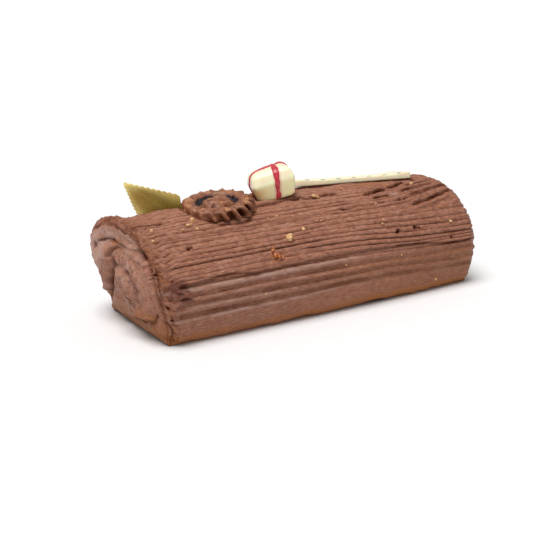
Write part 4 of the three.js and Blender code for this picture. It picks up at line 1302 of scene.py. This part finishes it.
def add_disc():
    profile = refine(disc_profile(), 5)
    angle = full_turn(DISC.flutes * 18)
    radius, height, flute, slant = (profile[:, [column]] for column in range(4))
    degrees = np.degrees(np.angle(np.exp(1j * angle)))
    from_smear = np.abs((degrees - DISC.smear_direction + 180) % 360 - 180)
    faded = mix(0.15, 1.0, 1 - bell(from_smear / 47))
    tooth_at = math.radians(DISC.flute_turn) + 2 * math.pi / DISC.flutes / 3
    phase = DISC.flutes * (angle - tooth_at + 0.13 * (1 - slant))
    uneven = 1 + 0.35 * wander(angle * DISC.flutes / (2 * math.pi), 40)
    ridge = 1 - np.abs(np.sin(phase / 2)) ** 0.8 * 1.7
    side = smooth(flute, 0, 0.8)
    reach = radius + flute * ridge * faded * uneven
    x, y = reach * np.cos(angle), reach * np.sin(angle)
    lift = height + 0.4 * side * ridge * faded * (height > -DISC.thickness * 0.5)
    on_top = smooth(height, -3.2, -0.8) * smooth(radius, 2, 6)
    place = join(x, y, lift)
    rugged = 0.4 * lumps(place, 3.4, 41) + 0.34 * lumps(place, 1.5, 42)
    lift = lift + on_top * rugged
    lift = lift + 0.12 * on_top * np.sin(angle * 74) * smooth(radius, 14, 17)
    boss = bell(radius / (DISC.radius * 0.33))
    lift = lift + boss * (1.6 * lumps(place, 5.5, 43) + 1.0 * lumps(place, 2.4, 44))
    rim_dip = bell((degrees + 90) / 60) * 0.5
    lift = lift - rim_dip * smooth(radius, 10, 20) * (height > -DISC.thickness * 0.6)
    # Painted shade in the gaps between the flutes, along the sunken ring and in the low spots of the rugged
    # top and the boss.
    valley = side * smooth(-ridge, -0.25, 0.45) * faded * smooth(-height, 0.1, 2)
    ring_dip = 0.5 * bell((radius - DISC.radius * 0.5) / 2.6) * (height > -3)
    low_spots = 0.5 * on_top * smooth(-rugged, 0.15, 0.55)
    low_spots = low_spots + 0.8 * boss * smooth(-lumps(place, 2.4, 44), 0.25, 0.6)
    values = {
        "hollow": np.clip(valley + ring_dip + low_spots, 0, 1),
        "gold": 0.55 * smooth(lumps(place, 3.4, 47), 0.15, 0.7) * on_top + 0.5 * boss * smooth(y, -2, 4),
    }
    rings = to_frame(join(x, y, lift), DISC)
    add_piece("fluted_disc", [(rings, values)], disc_finish(), "disc")


def add_glaze():
    """Two dark glossy pools in the disc's sunken ring, which sink away at their ends."""
    material = glaze_finish()
    for name, start, end, level in GLAZE.pools:
        share = np.linspace(0, 1, 70)[:, None]
        angle = np.radians(mix(start, end, share))
        across = np.concatenate([np.linspace(-1, 1, 15), np.linspace(1, -1, 15)[1:-1]])[None, :]
        on_top = (np.arange(28) < 15)[None, :]
        taper = np.clip(1 - (2 * share - 1) ** 4, 0, 1)
        wide = GLAZE.reach * np.sqrt(taper) * (1 + 0.25 * noise(angle * 8, across * 0.5, seed=45))
        radius = DISC.radius * 0.5 + wide * across
        ripple = 0.35 * noise(angle * 11, radius / 3, seed=46)
        ripple = ripple + 0.2 * noise(angle * 26, radius / 1.4, seed=48)
        sunk = level - 1.6 * (1 - taper) + ripple - 0.5 * np.abs(across) ** 3
        height = np.where(on_top, sunk, GLAZE.floor)
        rings = to_frame(join(radius * np.cos(angle), radius * np.sin(angle), height), DISC)
        add_piece(name, [(rings, {})], material, "disc")


# ---------------- parcel

# Places in the parcel's own frame: its middle, and a faint golden patch of painted warm reflection.
PARCEL_MIDDLE = (0, 0, 11)
WARM_REFLECTION_PLACE = (-11, -11, 8)
# Screen colours: a painted warm glow below the belly, a painted warm reflection in the golden patch, and
# where the ribbon's red has run.
PARCEL_TINTS = {"low": (255, 240, 190), "gold": (214, 168, 84), "bleed": (242, 170, 150)}


def parcel_levels():
    """Height and inset from the belly, from the base to the top."""
    base, shoulder = PARCEL.base_inset, PARCEL.shoulder_inset
    shoulder_height, height = PARCEL.shoulder_height, PARCEL.height
    return [
        (0, base + 1.2),
        (1, base),
        (PARCEL.belly_height, 0),
        (shoulder_height, shoulder - 1.2),
        (mix(shoulder_height, height, 0.62), shoulder + 1.4),
        (mix(shoulder_height, height, 0.9), shoulder + 5),
        (height, PARCEL.depth / 2 - 0.6),
    ]


def soften(path, radius, steps=4):
    """Rounds the corners of a polyline with short curves."""
    path = np.array(path, float)
    made = [path[0]]
    for before, corner, after in zip(path[:-2], path[1:-1], path[2:]):
        back, ahead = before - corner, after - corner
        start = corner + back * min(0.45, radius / np.linalg.norm(back))
        end = corner + ahead * min(0.45, radius / np.linalg.norm(ahead))
        for step in range(steps + 1):
            t = step / steps
            made.append(mix(mix(start, corner, t), mix(corner, end, t), t))
    made.append(path[-1])
    return np.array(made)


def rounded_rectangle(half_length, half_depth, radius, corner_steps, side_steps):
    """Points round a rectangle with round corners, anticlockwise."""
    arcs = []
    for sign_x, sign_y, start in ((1, 1, 0), (-1, 1, 90), (-1, -1, 180), (1, -1, 270)):
        middle = np.array([sign_x * (half_length - radius), sign_y * (half_depth - radius)])
        angles = np.radians(start + np.linspace(0, 90, corner_steps))
        arcs.append(middle + radius * np.column_stack([np.cos(angles), np.sin(angles)]))
    share = np.arange(1, side_steps)[:, None] / side_steps
    parts = []
    for arc, following in zip(arcs, arcs[1:] + arcs[:1]):
        parts += [arc, mix(arc[-1], following[0], share)]
    return np.concatenate(parts)


def box_rings(profile, length, depth, radii, corner_steps, side_steps):
    """Rings of a box with round corners, from rows of height and inset and a radius for each."""
    rings = []
    for (height, inset), radius in zip(profile, radii):
        outline = rounded_rectangle(length / 2 - inset, depth / 2 - inset, radius, corner_steps, side_steps)
        rings.append(np.column_stack([outline, np.full(len(outline), height)]))
    return np.array(rings)


def ribbon_lean(height):
    return mix(RIBBON.foot_offset, RIBBON.top_offset, height / PARCEL.height)


def ribbon_slide(along):
    return RIBBON.slide * smooth(along, 3, 10)


def add_parcel():
    profile = densify(soften(parcel_levels(), 1.3), 0.7)
    radii = np.clip(PARCEL.depth / 2 - profile[:, 1] - 0.3, 0.4, PARCEL.corner - 1.6)
    local = box_rings(profile, PARCEL.length, PARCEL.depth, radii, 8, 16)
    middle = np.array(PARCEL_MIDDLE)
    outward = (local - middle) / np.linalg.norm(local - middle, axis=-1)[..., None]
    local = local + outward * (0.12 * lumps(local, 6, 50) + 0.05 * lumps(local, 2.2, 51))[..., None]
    x, y, z = split(local)
    from_ribbons = np.minimum(np.abs(x - ribbon_lean(z)), np.abs(y - ribbon_slide(x)))
    # Painted light: a warm glow on the faces below the belly and a golden reflection near a lower corner.
    low = 1 - smooth(z, PARCEL.belly_height - 0.7, PARCEL.belly_height + 0.5)
    values = {
        "bleed": 0.85 * bell(np.maximum(0, from_ribbons - RIBBON.width / 2) / 0.9),
        "low": low,
        "gold": 0.5 * low * bell(np.linalg.norm(local - np.array(WARM_REFLECTION_PLACE), axis=-1) / 4),
    }
    material = white_chocolate_finish("white_chocolate", **PARCEL_TINTS)
    add_piece("parcel_chocolate", [(to_frame(local, PARCEL), values)], material, "parcel")


def ribbon_rings(half_span, along_depth, seed):
    """Rings of a flattened piped line over the parcel, from foot to foot."""
    rise = [(half_span - inset, height) for height, inset in parcel_levels()[1:-1]]
    path = soften(rise + [(0, PARCEL.height + 0.1)] + [(-reach, height) for reach, height in rise[::-1]], 1.5)
    line = densify(path, RIBBON.step)
    run = np.gradient(line, axis=0)
    run /= np.linalg.norm(run, axis=1)[:, None]
    outward = np.column_stack([run[:, 1], -run[:, 0]])
    place = np.arange(len(line))[:, None] * RIBBON.step
    waver = 0.3 * wander(place / 5, seed) + 0.16 * wander(place / 2, seed + 1)
    around = full_turn(18)
    sideways = RIBBON.width / 2 * (1 + waver) * np.cos(around) + 0.45 * wander(place / 7, seed + 2)
    thick = np.where(np.sin(around) > 0, RIBBON.proud, RIBBON.sunk)
    lift = thick * np.sin(around) * (1 + 0.25 * noise(place / 3, around, seed=seed + 3))
    reach = line[:, :1] + outward[:, :1] * lift
    up = line[:, 1:] + outward[:, 1:] * lift
    if along_depth:
        return join(ribbon_lean(line[:, 1:]) - sideways, reach, up)
    return join(reach, sideways + ribbon_slide(line[:, :1]), up)


def add_ribbons():
    lines = (ribbon_rings(PARCEL.depth / 2, True, 60), ribbon_rings(PARCEL.length / 2, False, 70))
    parts = [(to_frame(rings, PARCEL), {}) for rings in lines]
    add_piece("parcel_ribbons", parts, ribbon_finish(), "parcel")


# ---------------- plaque


def plaque_curl(x):
    """How far the top of the plaque curls up at its two ends."""
    return 1.2 * bell((x + 47) / 13) + 1.3 * bell((x - 46) / 11)


def add_plaque():
    half, middle = PLAQUE.thickness / 2, PLAQUE.width / 2 - 0.5
    profile = soften([(-half, middle), (-half, 0), (half, 0), (half, middle)], PLAQUE.bevel * 1.4)
    profile = densify(profile, 1.2)
    radii = np.maximum(0.3, PLAQUE.corner - profile[:, 1])
    local = box_rings(profile, PLAQUE.length, PLAQUE.width, radii, 7, 30)
    local[..., 2] += 0.12 * lumps(local * np.array([1, 1, 0]), 9, 80)
    local[..., 2] += plaque_curl(local[..., 0]) * (local[..., 2] > 0)
    local = local + np.array([0, PLAQUE.width / 2, half])
    material = white_chocolate_finish("plaque_chocolate")
    add_piece("plaque_chocolate", [(to_frame(local, PLAQUE), {})], material, "plaque")


def add_dashes():
    """A plain dashed line along the plaque's front edge, in dark chocolate."""
    parts = []
    along = np.linspace(-0.5, 0.5, 9)[:, None] * DASHES.length
    around = full_turn(8)
    thin = np.sqrt(np.clip(1 - (2 * along / DASHES.length) ** 4, 0.02, 1))
    for index, middle in enumerate(np.linspace(-DASHES.half_row, DASHES.half_row, DASHES.count)):
        bend = 0.2 * noise(along / 3, index * 1.7, seed=82)
        y = DASHES.inset + bend + DASHES.width / 2 * thin * np.cos(around)
        z = PLAQUE.thickness + plaque_curl(middle) + DASHES.half_height * thin * np.sin(around)
        parts.append((to_frame(join(middle + along, y, z), PLAQUE), {}))
    add_piece("plaque_dashes", parts, glaze_finish(), "plaque")


# ---------------- stage, light and camera

CAMERA_PLACE = (-0.45213, -0.68741, 0.28634)
CAMERA_RIGHT = (0.84679, -0.53193, 0)
CAMERA_UP = (0.16467, 0.26214, 0.95088)
CAMERA_LENS = 81.21
SENSOR = 36
# In metres and degrees.
FLOOR_SIZE = 14
FLOOR_DROP = 0.0002
FLOOR_GREY = (0.84, 0.84, 0.84, 1)
SKY_STRENGTH = 0.4
SUN_STRENGTH = 2.9
SUN_WIDTH = 34
SUN_DIRECTION = (0.3, 0.1, -1)


def add_camera():
    data = bpy.data.cameras.new("camera")
    data.lens = CAMERA_LENS
    data.sensor_width = SENSOR
    data.clip_start = 0.01
    right, up = Vector(CAMERA_RIGHT).normalized(), Vector(CAMERA_UP).normalized()
    matrix = Matrix((right, up, right.cross(up))).transposed().to_4x4()
    matrix.translation = Vector(CAMERA_PLACE)
    camera = add_object("camera", data)
    camera.matrix_world = matrix
    bpy.context.scene.camera = camera


def add_floor():
    bpy.ops.mesh.primitive_plane_add(size=FLOOR_SIZE, location=(0, 0, -FLOOR_DROP))
    floor = bpy.context.object
    floor.name = "floor"
    finish = Finish("floor", Roughness=0.7)
    finish.set("Base Color", FLOOR_GREY)
    floor.data.materials.append(finish.material)


def add_light():
    world = bpy.data.worlds.new("studio")
    world.use_nodes = True
    background = world.node_tree.nodes["Background"]
    background.inputs["Color"].default_value = (1, 1, 1, 1)
    background.inputs["Strength"].default_value = SKY_STRENGTH
    bpy.context.scene.world = world
    data = bpy.data.lights.new("soft_sun", "SUN")
    data.energy = SUN_STRENGTH
    data.angle = math.radians(SUN_WIDTH)
    add_object("soft_sun", data).rotation_euler = Vector(SUN_DIRECTION).to_track_quat("-Z", "Y").to_euler()
    bpy.context.scene.view_settings.view_transform = "Standard"


add_camera()
add_floor()
add_light()
add_buttercream()
add_crumbs()
add_leaf()
add_disc()
add_glaze()
add_parcel()
add_ribbons()
add_plaque()
add_dashes()
